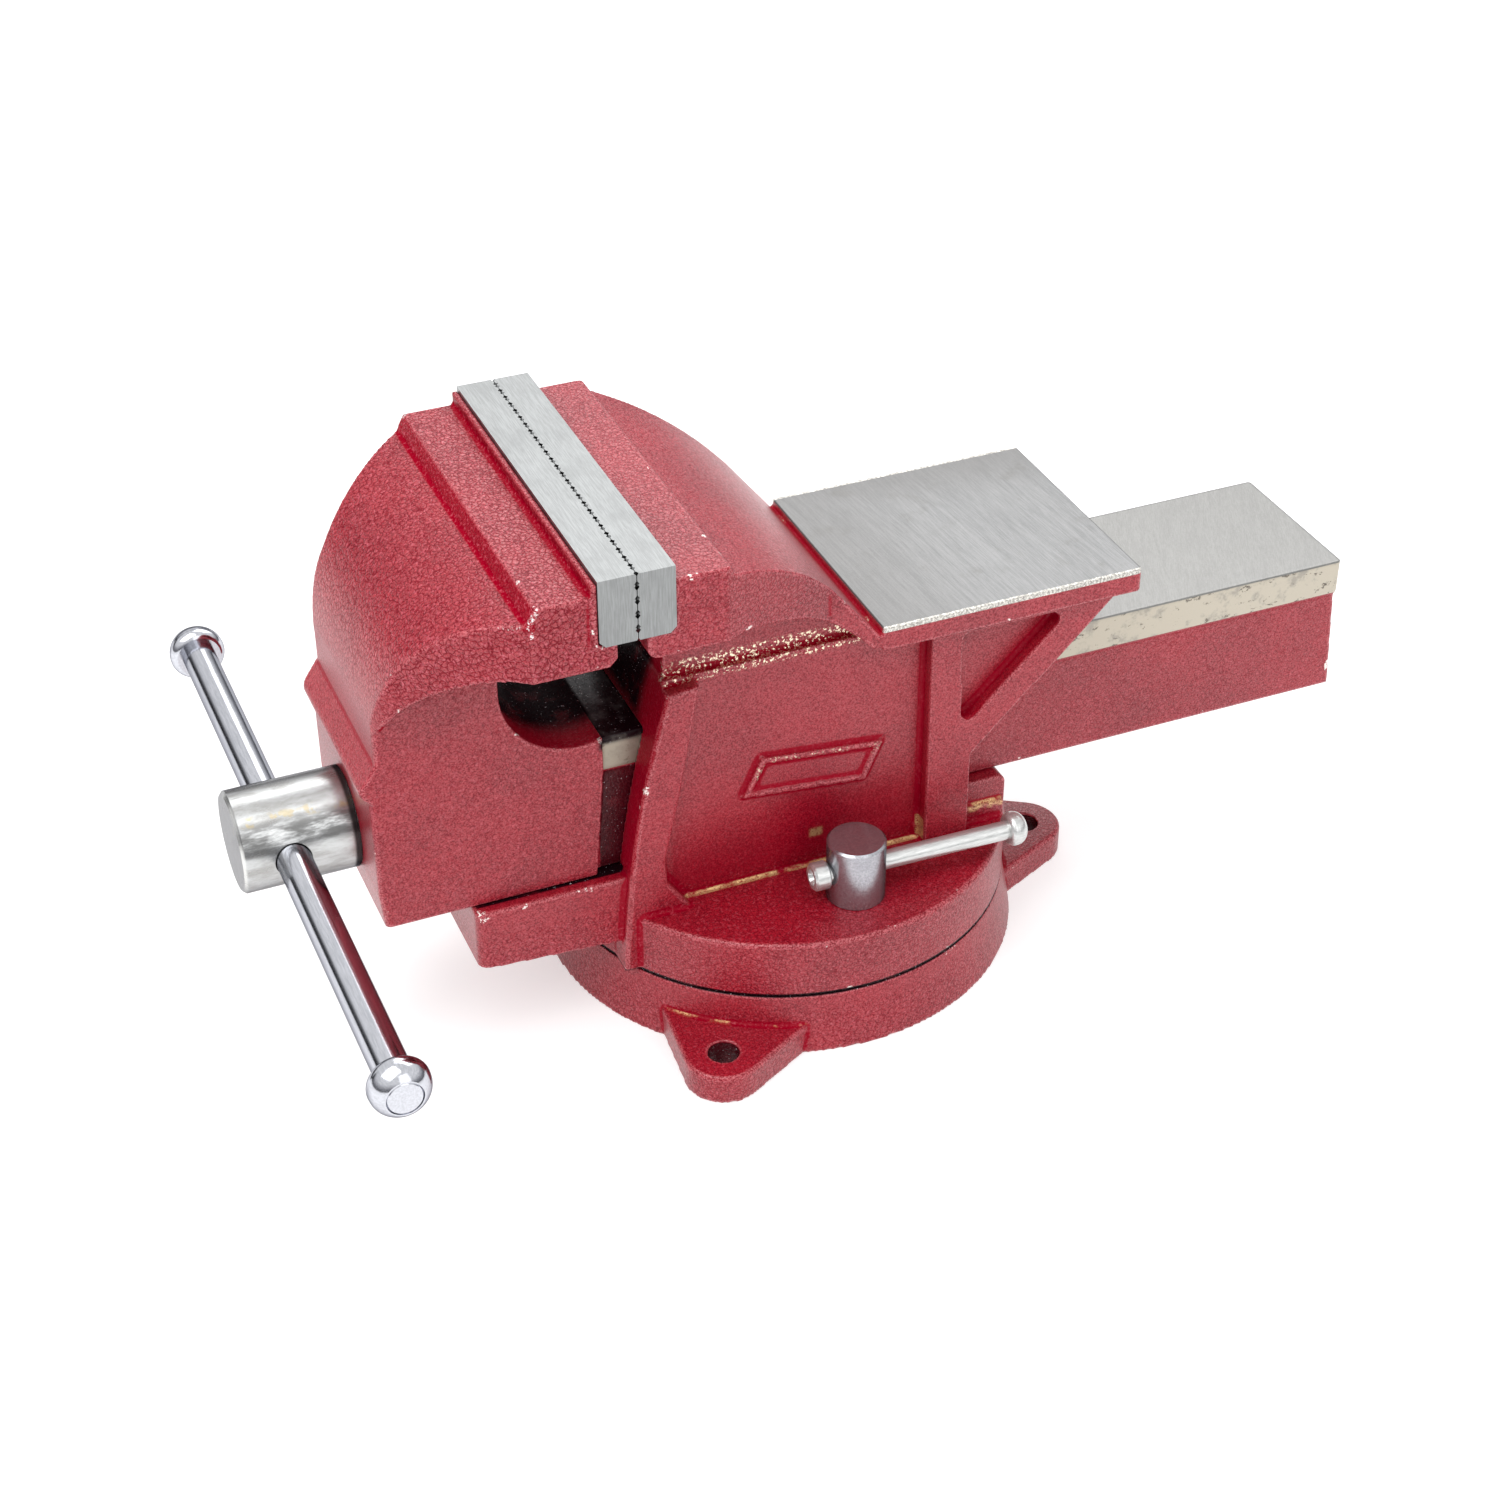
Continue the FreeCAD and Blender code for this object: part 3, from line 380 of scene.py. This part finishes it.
def painted_casting(name, leather, machined=None, grease_and_shade=None, glints=None, gold_glints=None,
                    shaded=None, glint_colour=WARM_GLINT):
    """Hammered red paint on a casting, with painted shade in its corners and painted highlights on its
    cells and edges.

    leather gives the strength of the hammered pattern, and machined gives the mask, colour,
    roughness and height of the ground faces. The others give masks: for old grease with painted
    shade, painted glints, thin yellow painted glints and painted shade in a dull red.
    """
    s = Shader(name)
    rough = leather(s)
    cells = s.cell_borders(CELL_SIZE, s.warped(1.7 * MM, 1.3 * MM))
    pits = s.noise(PIT_SIZE, 2.0, 0.6)
    grain = s.noise(GRAIN_SIZE, 1.0, 0.5, offset=3.0)
    broad = s.noise(30 * MM, 2.0, 0.5, offset=1.0)
    creases = s.times(s.rest(s.step(cells, 0.02, 0.14)), rough)

    tone = s.plus(s.times(grain, 0.55), s.plus(s.times(pits, 0.25), s.times(broad, 0.20)))
    # Painted shade: concave corners turn dull crimson and lose most of their sheen.
    corner = s.step(s.attribute("hollow"), 0.10, 0.55)
    colour = s.mix(s.step(tone, 0.34, 0.64), DEEP_RED, BRIGHT_RED)
    colour = s.mix(s.times(creases, 0.75), colour, CREASE_RED)
    colour = s.mix(corner, colour, SHADE_CRIMSON)
    sheen = s.times(
        s.rest(creases), s.blend(s.step(grain, 0.38, 0.62), 0.55, 1.05), s.rest(s.times(corner, 0.85))
    )
    # Painted shade from the shaded mask: dull crimson with little sheen.
    if shaded:
        shade = shaded(s)
        colour = s.mix(s.times(shade, 0.6), colour, SHADE_CRIMSON)
        sheen = s.times(sheen, s.rest(s.times(shade, 0.9)))

    # Painted highlights: light pink flecks on the hammered cells.
    fleck_highlights = s.times(s.step(s.noise(FLECK_SIZE, 2.0, 0.6, offset=6.0), 0.54, 0.66), rough)
    colour = s.mix(s.times(fleck_highlights, 0.7), colour, HIGHLIGHT_PINK)

    edge = s.attribute("edge")
    # Painted highlight: a lighter pink line along sharp edges.
    edge_highlight = s.times(s.step(edge, 0.45, 0.85), s.step(grain, 0.38, 0.60))
    colour = s.mix(s.times(edge_highlight, 0.35), colour, EDGE_HIGHLIGHT_PINK)
    # Small chips of bare metal on edges, coloured near white as painted glints.
    chip_glints = s.times(
        s.step(edge, 0.25, 0.45), s.step(s.noise(CHIP_SIZE, 4.0, 0.75, offset=5.0), 0.64, 0.67)
    )
    colour = s.mix(chip_glints, colour, CHIP_GLINT_WHITE)
    metallic = s.times(chip_glints, 0.6)
    # Painted glints: thin yellow lines in fillets and a few spots.
    if gold_glints:
        gold_glint_lines = s.times(gold_glints(s), s.step(s.noise(14 * MM, 3.0, 0.7), 0.38, 0.52))
        gold_glint_lines = s.times(gold_glint_lines, s.step(grain, 0.30, 0.5))
        colour = s.mix(gold_glint_lines, colour, GLINT_GOLD)
        metallic = s.most(metallic, s.times(gold_glint_lines, 0.6))

    height = s.plus(s.times(s.step(cells, 0.0, 0.24), rough), s.times(pits, 0.8))
    normal = s.bump(height, PAINT_RELIEF, 0.8)
    normal = s.bump(s.noise(SWELL_SIZE, 2.0, 0.5, offset=9.0), SWELL_RELIEF, 0.35, normal)
    roughness = s.blend(pits, 0.26, 0.48)

    if glints:
        glint_specks = s.step(s.noise(FLECK_SIZE, 3.0, 0.7, offset=11.0), 0.53, 0.60)
        bright = s.times(glints(s), glint_specks)
        colour = s.mix(bright, colour, glint_colour)
        metallic = s.most(metallic, bright)
        roughness = s.blend(bright, roughness, 0.25)
    if machined:
        mask, steel_colour, steel_roughness, steel_height = machined(s)
        colour = s.mix(mask, colour, steel_colour)
        roughness = s.blend(mask, roughness, steel_roughness)
        metallic = s.blend(mask, metallic, STEEL_METALLIC)
        soft = s.times(height, s.rest(mask))
        normal = s.bump(s.plus(soft, s.times(steel_height, s.times(mask, 0.2))), PAINT_RELIEF, 0.8)
    # Black for old grease and for painted shade in throats, gaps and holes, with painted white glints.
    if grease_and_shade:
        patchy = s.step(s.noise(9 * MM, 4.0, 0.65, offset=13.0), 0.3, 0.5)
        mask = s.times(grease_and_shade(s), s.blend(patchy, 0.8, 1.0))
        # Painted glints: white specks on the black.
        glint_specks = s.times(mask, s.step(s.noise(1.0 * MM, 3.0, 0.7, offset=14.0), 0.64, 0.68))
        colour = s.mix(mask, colour, GREASE_AND_SHADE_BLACK)
        colour = s.mix(s.times(glint_specks, 0.8), colour, GREASE_GLINT)
        roughness = s.blend(mask, roughness, 0.18)
        metallic = s.times(metallic, s.rest(mask))
        sheen = s.times(sheen, s.rest(s.times(mask, 0.85)))
    return s.finish(
        Base_Color=colour, Roughness=roughness, Metallic=metallic, Normal=normal,
        Specular_IOR_Level=s.times(sheen, 0.72), Coat_Weight=s.times(sheen, 0.34),
        Coat_Roughness=0.30,
    )


def ground_steel(s, stretch, turn, light, dark):
    """Colour, roughness and height of a ground steel face with its grain along one direction."""
    fine = s.noise(0.4 * MM, 3.0, 0.7, s.stretched(stretch, turn), 21.0)
    wide = s.noise(1.8 * MM, 2.0, 0.6, s.stretched(stretch, turn), 22.0)
    clouds = s.noise(24 * MM, 3.0, 0.6, offset=23.0)
    grain = s.plus(s.times(fine, 0.7), s.times(wide, 0.3))
    colour = s.mix(s.step(grain, 0.36, 0.64), dark, light)
    colour = s.mix(s.times(s.step(clouds, 0.5, 0.75), 0.35), colour, dark)
    return colour, s.blend(grain, 0.30, 0.46), grain


def body_machined(s):
    """The anvil's ground top, darker to the front and the left, with a rough bright border."""
    shade_grey = (0.13, 0.125, 0.12)
    smudge_grey = (0.12, 0.115, 0.105)
    border_dark = (0.36, 0.34, 0.31)
    border_light = (0.82, 0.80, 0.75)
    behind = s.step(s.y, ANVIL_FRONT_Y - 0.5 * MM, ANVIL_FRONT_Y - 0.1 * MM)
    speckle = s.noise(0.8 * MM, 3.0, 0.7, offset=24.0)
    ragged = s.plus(s.math("ABSOLUTE", s.x), s.times(speckle, 1.0 * MM))
    border = s.step(ragged, ANVIL_HALF_WIDTH - 0.9 * MM, ANVIL_HALF_WIDTH - 0.7 * MM)
    top = s.step(s.z, ANVIL_TOP_Z - 0.8 * MM, ANVIL_TOP_Z - 0.5 * MM)
    edge = s.times(border, s.step(s.z, ANVIL_TOP_Z - 1.9 * MM, ANVIL_TOP_Z - 1.6 * MM))
    colour, roughness, height = ground_steel(
        s, (26, 1, 1), (0, 0, -4), (0.25, 0.25, 0.25), (0.165, 0.167, 0.168)
    )
    front_and_left = s.most(s.rest(s.step(s.y, 0.02, 0.08)), s.rest(s.step(s.x, -0.050, -0.015)))
    colour = s.mix(s.times(front_and_left, 0.5), colour, shade_grey)
    smudges = s.step(s.noise(13 * MM, 4.0, 0.65, offset=27.0), 0.54, 0.72)
    colour = s.mix(s.times(smudges, 0.35), colour, smudge_grey)
    border_colour = s.mix(s.step(speckle, 0.4, 0.6), border_dark, border_light)
    colour = s.mix(border, colour, border_colour)
    roughness = s.blend(border, roughness, 0.6)
    return s.times(behind, s.most(top, edge)), colour, roughness, height


def bar_machined(s):
    """The guide bar's ground top and the strip along the top of each side."""
    strip_buff = (0.52, 0.475, 0.395)
    strip_brown = (0.30, 0.26, 0.20)
    strip_grey = (0.30, 0.28, 0.25)
    pore_brown = (0.14, 0.12, 0.10)
    behind = s.step(s.y, JAWS_MEET_Y - 1.5 * MM, JAWS_MEET_Y - 1.0 * MM)
    top = s.step(s.z, BAR_TOP_Z - 0.7 * MM, BAR_TOP_Z - 0.4 * MM)
    outside = s.step(s.math("ABSOLUTE", s.x), BAR_HALF_WIDTH - 0.9 * MM, BAR_HALF_WIDTH - 0.7 * MM)
    strip = s.times(s.step(s.z, BAR_STRIP_Z - 0.1 * MM, BAR_STRIP_Z + 0.1 * MM), outside)
    mask = s.times(behind, s.most(top, strip))
    colour, roughness, height = ground_steel(
        s, (10, 1, 1), (0, 0, 25), (0.265, 0.263, 0.254), (0.215, 0.213, 0.206)
    )
    pores = s.step(s.noise(3.2 * MM, 5.0, 0.75, s.stretched((1, 1.8, 1)), 25.0), 0.58, 0.63)
    patches = s.step(s.noise(9 * MM, 4.0, 0.7, offset=26.0), 0.52, 0.66)
    browner = s.rest(s.step(s.y, -0.06, 0.19))
    side_colour = s.mix(pores, strip_buff, pore_brown)
    side_colour = s.mix(s.times(patches, 0.7), side_colour, strip_grey)
    side_colour = s.mix(s.times(browner, 0.6), side_colour, strip_brown)
    colour = s.mix(s.rest(top), colour, side_colour)
    roughness = s.blend(s.rest(top), roughness, 0.5)
    return mask, colour, roughness, height


def jaw_grease_and_shade(s):
    """Old grease on the guide bar between the jaws, grease with painted shade in the round throat, and
    painted shade along the bar's side.
    """
    smear = s.plus(s.y, s.times(s.noise(14 * MM, 4.0, 0.65, offset=12.0), 30 * MM))
    fading = s.rest(s.step(smear, -0.0480, -0.0300))
    reach = (JAWS_MEET_Y - 3 * MM, 0.0)
    bar = s.region(y=reach, z=(BAR_TOP_Z - 3.2 * MM, BAR_TOP_Z + 1.3 * MM), soft=1.2 * MM)
    inner = s.rest(s.step(s.math("ABSOLUTE", s.x), 0.018, 0.032))
    # Grease with painted shade in the round throat.
    throat = s.times(s.region(y=THROAT_Y, z=THROAT_Z), inner)
    # Painted shade on the bar's side, in the gap between the jaws.
    side = s.region(
        x=(BAR_HALF_WIDTH - 1.7 * MM, BAR_HALF_WIDTH + 1.3 * MM), y=reach,
        z=(BAR_BOTTOM_Z - 2 * MM, BAR_STRIP_Z - 0.8 * MM), soft=0.4 * MM,
    )
    return s.most(s.times(bar, fading), throat, s.times(side, fading, 0.8))


def jaw_shaded(s):
    """Painted shade in a deep, dull red: the throat, and the fronts of the head's step and of its lip.
    """
    throat = s.region(x=out_to(NECK_HALF_WIDTH - 0.5 * MM), y=THROAT_Y, z=THROAT_Z)
    step = s.region(y=HEAD_STEP_Y, z=(0.2020, 0.2100), soft=0.3 * MM)
    lip = s.times(s.step(s.attribute("front"), 0.5, 0.8), s.step(s.z, 0.2075, 0.2085))
    return s.most(throat, s.times(s.most(step, lip), 0.9))


def body_shaded(s):
    """Painted shade in a deep, dull red: the front faces below the jaws and the low part of the wall.
    """
    front = s.times(
        s.step(s.attribute("front"), 0.45, 0.75), s.rest(s.step(s.y, -0.0450, -0.0440)),
        s.between(s.z, 0.0690, 0.1620, 2 * MM),
    )
    wall = s.times(
        s.region(x=(0.0300, WALL_HALF_WIDTH + 2 * MM), y=(-0.0600, 0.0480), soft=1 * MM),
        s.rest(s.step(s.z, 0.0500, 0.0920)), 0.6,
    )
    return s.most(front, wall)


def jaw_leather(s):
    """The hammered cells are strong on the head and weak below it."""
    return s.blend(s.step(s.z, 0.150, 0.178), 0.32, 0.72)


def body_leather(s):
    """The cells are strong on the flange and on the jaw's head, and weak on the walls."""
    low = s.blend(s.step(s.z, FLANGE_TOP_Z + 1.5 * MM, FLANGE_TOP_Z + 7.5 * MM), 0.45, 0.20)
    return s.blend(s.step(s.z, 0.160, 0.178), low, 0.50)


def base_leather(s):
    """The cells are stronger on the lugs than on the round side."""
    return s.blend(s.step(s.z, LUG_TOP_Z + 2 * MM, LUG_TOP_Z + 8 * MM), 0.45, 0.25)


def jaw_glints(s):
    """Painted glints along the head's side edge and at the corner of its step."""
    edge = s.step(s.attribute("edge"), 0.35, 0.6)
    front = s.region(x=HEAD_SIDE_X, y=(-0.1720, -0.1360), z=(0.1650, 0.2050))
    corner = s.region(x=HEAD_SIDE_X, y=(-0.1290, -0.1170), z=(0.1990, 0.2130))
    return s.times(edge, s.most(s.times(front, 0.9), corner))


def body_grease_and_shade(s):
    """Grease on the line where the jaw slides on the front tongue, painted shade in the gap above the
    base, and grease with painted shade on the neck's front faces.
    """
    tongue = s.region(
        x=out_to(0.0390), y=(-0.1360, -0.0770), z=(BAR_BOTTOM_Z - 1.5 * MM, BAR_BOTTOM_Z + 2 * MM),
        soft=0.5 * MM,
    )
    # Painted shade in the gap above the base.
    gap_shade = s.rest(s.step(s.z, BASE_TOP_Z + 1.2 * MM, BASE_TOP_Z + 1.7 * MM))
    # Grease with painted shade on the neck's front faces.
    neck = s.times(
        s.region(x=out_to(0.0280), y=(-0.0720, -0.0440), z=(0.1260, 0.1640), soft=4 * MM),
        s.step(s.attribute("front"), 0.45, 0.75),
    )
    return s.most(tongue, gap_shade, neck)


def base_painted_shade(s):
    """Painted shade in the gap under the flange and inside the three bolt holes."""
    holes = []
    for angle in LUG_ANGLES:
        across = s.plus(s.x, -LUG_CIRCLE_R * math.cos(math.radians(angle)))
        along = s.plus(s.y, -LUG_CIRCLE_R * math.sin(math.radians(angle)))
        away = s.math("SQRT", s.plus(s.times(across, across), s.times(along, along)))
        holes.append(s.rest(s.step(away, LUG_HOLE_R + 0.3 * MM, LUG_HOLE_R + 0.7 * MM)))
    below_rim = s.rest(s.step(s.z, LUG_TOP_Z - 1.0 * MM, LUG_TOP_Z - 0.4 * MM))
    # Painted shade inside the bolt holes, below the lug's rim.
    hole_shade = s.times(s.most(*holes), below_rim, 0.8)
    # Painted shade on the base's top edge, under the flange.
    return s.most(s.step(s.z, BASE_TOP_Z - 0.6 * MM, BASE_TOP_Z - 0.2 * MM), hole_shade)


def body_glints(s):
    """The rough groove under the rear jaw's head, and the cast panel's rim, where paint glints."""
    groove = s.times(
        s.region(x=(0.0365, 0.0425), y=(-0.0620, 0.0190), z=(0.1445, 0.1525), soft=0.8 * MM),
        s.blend(s.step(s.y, -0.058, -0.030), 0.86, 1.0),
    )
    panel = s.times(
        s.region(x=(0.0424, 0.0440), y=(-0.0330, 0.0260), z=(0.0820, 0.1050)),
        s.step(s.z, 0.0930, 0.0980), s.step(s.noise(6 * MM, 3.0, 0.7), 0.45, 0.6),
    )
    return s.most(groove, panel)


def base_gold_glints(s):
    """A thin, patchy yellow painted glint where each lug runs into the round base."""
    ridge = s.step(s.attribute("hollow"), 0.35, 0.60)
    patchy = s.step(s.noise(11 * MM, 3.0, 0.7, offset=15.0), 0.48, 0.58)
    return s.times(ridge, s.between(s.z, LUG_TOP_Z + 0.1 * MM, LUG_TOP_Z + 0.6 * MM), patchy, 0.8)


def body_gold_glints(s):
    """Thin yellow painted glints at the wall's foot and on the rear step, and three glint spots near
    them.
    """
    foot = s.region(x=(0.0405, 0.0430), y=(-0.0560, 0.0440), z=(0.0483, 0.0494), soft=0.3 * MM)
    step = s.region(x=out_to(0.0440), y=(0.0600, 0.0785), z=(0.0530, 0.0560), soft=0.5 * MM)
    above_lock = s.region(x=(0.0405, 0.0420), y=(-0.0040, 0.0010), z=(0.0610, 0.0645), soft=0.8 * MM)
    wall_end = s.region(x=(0.0405, 0.0460), y=(0.0405, 0.0425), z=(0.0500, 0.0590), soft=0.5 * MM)
    recess = s.region(x=(0.0400, 0.0440), y=(0.0550, 0.0585), z=(0.0985, 0.1015), soft=0.6 * MM)
    return s.most(foot, step, above_lock, wall_end, recess)


def steel(name, light, dark, roughness, stretch=(1, 1, 1), grain=0.5 * MM, stains=0.2,
          metallic=1.0, bump=0.02 * MM, rim=(1, 1, 1)):
    """Bare or plated steel: fine grain, soft clouds and a few stains."""
    s = Shader(name)
    fine = s.noise(grain, 3.0, 0.7, s.stretched(stretch), 31.0)
    clouds = s.noise(12 * MM, 4.0, 0.6, offset=32.0)
    spots = s.step(s.noise(3.0 * MM, 5.0, 0.75, offset=33.0), 0.62, 0.72)
    colour = s.mix(s.step(fine, 0.3, 0.7), dark, light)
    colour = s.mix(s.times(s.step(clouds, 0.48, 0.7), 0.4), colour, dark)
    colour = s.mix(s.times(spots, stains), colour, tuple(0.25 * c for c in dark))
    uneven = s.plus(s.times(fine, 0.5), s.times(clouds, 0.5))
    return s.finish(
        Base_Color=colour, Roughness=s.blend(uneven, roughness * 0.75, roughness * 1.3),
        Metallic=metallic, Specular_Tint=rim, Normal=s.bump(fine, bump, 0.6),
    )


def screw_steel():
    """The turned spindle: a mottled head with a pale end, a painted reflection in a dark band and a
    yellow one above it, and painted shade at the rear edge.
    """
    light_grey = (0.56, 0.57, 0.57)
    mid_grey = (0.42, 0.42, 0.41)
    scratch_grey = (0.25, 0.25, 0.24)
    reflection_black = (0.07, 0.07, 0.07)
    reflection_yellow = (0.55, 0.42, 0.16)
    shade_black = (0.02, 0.018, 0.018)
    end_white = (0.74, 0.74, 0.72)
    s = Shader("screw_steel")
    fine = s.noise(0.6 * MM, 3.0, 0.7, s.stretched((1, 4, 1)), 31.0)
    clouds = s.noise(4 * MM, 4.0, 0.65, s.stretched((1, 3.5, 1)), 32.0)
    angle = s.math("ARCTAN2", s.plus(s.z, -SCREW_AXIS_Z), s.x)
    # Painted reflections: a dark band and a warm yellow band at set angles around the axis.
    dark_reflection = s.times(s.between(angle, 0.30, 0.80, 0.16), s.step(clouds, 0.30, 0.55))
    warm_reflection = s.times(s.between(angle, 0.82, 1.02, 0.04), s.step(s.noise(5 * MM, 3.0, 0.6), 0.5, 0.6))
    # Painted shade where the head's rear edge meets the boss.
    rear_shade = s.step(s.y, JAW_FRONT_Y - 3.2 * MM, JAW_FRONT_Y - 1.8 * MM)
    end_face = s.rest(s.step(s.y, SCREW_END_Y + 0.4 * MM, SCREW_END_Y + 1.4 * MM))
    colour = s.mix(s.step(clouds, 0.40, 0.64), light_grey, mid_grey)
    colour = s.mix(s.times(s.step(fine, 0.50, 0.75), 0.3), colour, scratch_grey)
    colour = s.mix(s.times(dark_reflection, 0.78), colour, reflection_black)
    colour = s.mix(s.times(warm_reflection, 0.45), colour, reflection_yellow)
    colour = s.mix(s.times(rear_shade, 0.9), colour, shade_black)
    colour = s.mix(s.times(end_face, 0.8), colour, end_white)
    return s.finish(
        Base_Color=colour, Roughness=s.blend(clouds, 0.16, 0.34), Metallic=STEEL_METALLIC,
        Normal=s.bump(s.plus(fine, s.times(clouds, 0.5)), 0.008 * MM, 0.5),
        Specular_Tint=DARK_RIM,
    )


# ---- castings ----
VOXEL = 0.7 * MM
FACE_LIMIT = 190000
ROUNDING_PASSES = 2
SURROUNDINGS_ROUNDS = 14        # how widely a point is compared with its surroundings
MARK_GAIN = 2.5                 # mark per voxel that a point stands out from them


def smoothed(points, links, rounds, share=0.5):
    """Moves each point part of the way to the mean of its neighbours, some rounds over."""
    count = np.bincount(links.ravel(), minlength=len(points))[:, None]
    for _ in range(rounds):
        total = np.empty_like(points)
        for axis in range(3):
            ends = points[:, axis]
            total[:, axis] = np.bincount(
                links[:, 0], weights=ends[links[:, 1]], minlength=len(points)
            ) + np.bincount(links[:, 1], weights=ends[links[:, 0]], minlength=len(points))
        points = points + share * (total / count - points)
    return points


def evaluated_mesh(piece):
    """The piece's mesh with its modifiers applied."""
    graph = bpy.context.evaluated_depsgraph_get()
    mesh = bpy.data.meshes.new_from_object(piece.evaluated_get(graph))
    piece.modifiers.clear()
    return mesh


def set_float(mesh, name, values):
    layer = mesh.attributes.new(name, "FLOAT", "POINT")
    layer.data.foreach_set("value", values.astype(np.float32))


def soften(mesh):
    """Rounds the edges a little, and marks edges, hollows and fronts for the paint."""
    count = len(mesh.vertices)
    points = np.empty(count * 3)
    mesh.vertices.foreach_get("co", points)
    points = points.reshape(-1, 3)
    links = np.empty(len(mesh.edges) * 2, np.int64)
    mesh.edges.foreach_get("vertices", links)
    links = links.reshape(-1, 2)
    soft = points
    for _ in range(ROUNDING_PASSES):
        soft = smoothed(smoothed(soft, links, 1, 0.5), links, 1, -0.5)
    mesh.vertices.foreach_set("co", soft.ravel())
    mesh.update()
    normals = np.empty(count * 3)
    mesh.vertex_normals.foreach_get("vector", normals)
    normals = normals.reshape(-1, 3)
    offset = soft - smoothed(soft, links, SURROUNDINGS_ROUNDS)
    bulge = (offset * normals).sum(axis=1) / VOXEL
    set_float(mesh, "edge", np.clip(bulge * MARK_GAIN, 0, 1))
    set_float(mesh, "hollow", np.clip(-bulge * MARK_GAIN, 0, 1))
    set_float(mesh, "front", np.clip(-normals[:, 1], 0, 1))


def keep_inside(mesh, low, high):
    """Brings any point that strayed out of the CAD solid's box back to its faces."""
    points = np.empty(len(mesh.vertices) * 3)
    mesh.vertices.foreach_get("co", points)
    points = np.clip(points.reshape(-1, 3), low, high)
    mesh.vertices.foreach_set("co", points.ravel())
    mesh.update()


def casting(node, body, material):
    """Puts a painted casting with softened edges in the place of a sharp-edged CAD solid."""
    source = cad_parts[node]
    piece = bpy.data.objects.new(node + "_casting", source.data.copy())
    bpy.context.scene.collection.objects.link(piece)
    remesh = piece.modifiers.new("even", "REMESH")
    remesh.mode = "VOXEL"
    remesh.voxel_size = VOXEL
    remesh.use_smooth_shade = True
    mesh = evaluated_mesh(piece)
    soften(mesh)
    piece.data = mesh
    thin = piece.modifiers.new("thin", "DECIMATE")
    triangles = 2 * len(mesh.polygons)
    thin.ratio = min(1.0, FACE_LIMIT / triangles)
    piece.data = evaluated_mesh(piece)
    keep_inside(piece.data, *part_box(node))
    piece.data.shade_smooth()
    piece.data.materials.clear()
    piece.data.materials.append(material)
    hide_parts(node)
    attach(piece, body)
    print(node, "points", len(piece.data.vertices), "faces", len(piece.data.polygons))


def make_castings():
    casting("swivel_base", "base", painted_casting(
        "base_paint", leather=base_leather, grease_and_shade=base_painted_shade, gold_glints=base_gold_glints
    ))
    casting("vise_body", "body", painted_casting(
        "body_paint", leather=body_leather, machined=body_machined, grease_and_shade=body_grease_and_shade,
        glints=body_glints, gold_glints=body_gold_glints, shaded=body_shaded,
    ))
    casting("movable_jaw", "jaw", painted_casting(
        "jaw_paint", leather=jaw_leather, machined=bar_machined, grease_and_shade=jaw_grease_and_shade,
        glints=jaw_glints, shaded=jaw_shaded, glint_colour=PINK_GLINT,
    ))


# ---- finishes of the CAD pieces that show as they are ----
def finish_nodes(material, *names):
    """Gives one finish to some CAD pieces."""
    for name in names:
        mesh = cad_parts[name].data
        mesh.materials.clear()
        mesh.materials.append(material)


def finish_steel_pieces():
    plate = steel(
        "plate_steel", (0.32, 0.33, 0.33), (0.23, 0.235, 0.235), 0.36,
        stretch=(18, 1, 18), grain=0.45 * MM, stains=0.25,
    )
    chrome = steel(
        "handle_chrome", (0.64, 0.65, 0.70), (0.52, 0.53, 0.57), 0.14,
        stretch=(12, 1, 1), grain=0.8 * MM, stains=0.10, bump=0.004 * MM, rim=DARK_RIM,
    )
    satin = steel(
        "lock_satin", (0.50, 0.50, 0.53), (0.34, 0.34, 0.37), 0.24,
        grain=0.7 * MM, metallic=STEEL_METALLIC, rim=DARK_RIM,
    )
    zinc = steel(
        "zinc_plate", (0.70, 0.71, 0.70), (0.52, 0.53, 0.52), 0.30,
        stretch=(1, 8, 1), grain=0.6 * MM, stains=0.15, metallic=0.75, bump=0.006 * MM,
    )
    black = steel("black_oxide", (0.06, 0.06, 0.065), (0.02, 0.02, 0.022), 0.35)
    spring = steel("spring_wire", (0.30, 0.30, 0.31), (0.14, 0.14, 0.14), 0.3)
    iron = steel(
        "bare_iron", (0.24, 0.23, 0.22), (0.10, 0.095, 0.09), 0.55,
        grain=1.2 * MM, stains=0.5, bump=0.1 * MM,
    )
    finish_nodes(plate, "rear_jaw_plate", "front_jaw_plate")
    finish_nodes(chrome, "handle_bar", "handle_knob_right", "handle_knob_left")
    finish_nodes(screw_steel(), "spindle")
    finish_nodes(black, "rear_plate_screws", "front_plate_screws", "nut_bolts", "pivot_bolt")
    finish_nodes(spring, "spindle_spring")
    finish_nodes(zinc, "nut_bolt_washers", "pivot_washer", "thrust_washer", "retaining_washer",
                 "cotter_pin")
    finish_nodes(iron, "spindle_nut")
    for side in ("right_", "left_"):
        finish_nodes(satin, side + "lock_bolt")
        finish_nodes(iron, side + "clamp_nut")
        finish_nodes(zinc, side + "lock_rod", side + "lock_rod_cap", side + "lock_rod_knob")


# ---- the scene ----
make_stage()
make_castings()
finish_steel_pieces()
bpy.context.scene.view_settings.view_transform = "Standard"
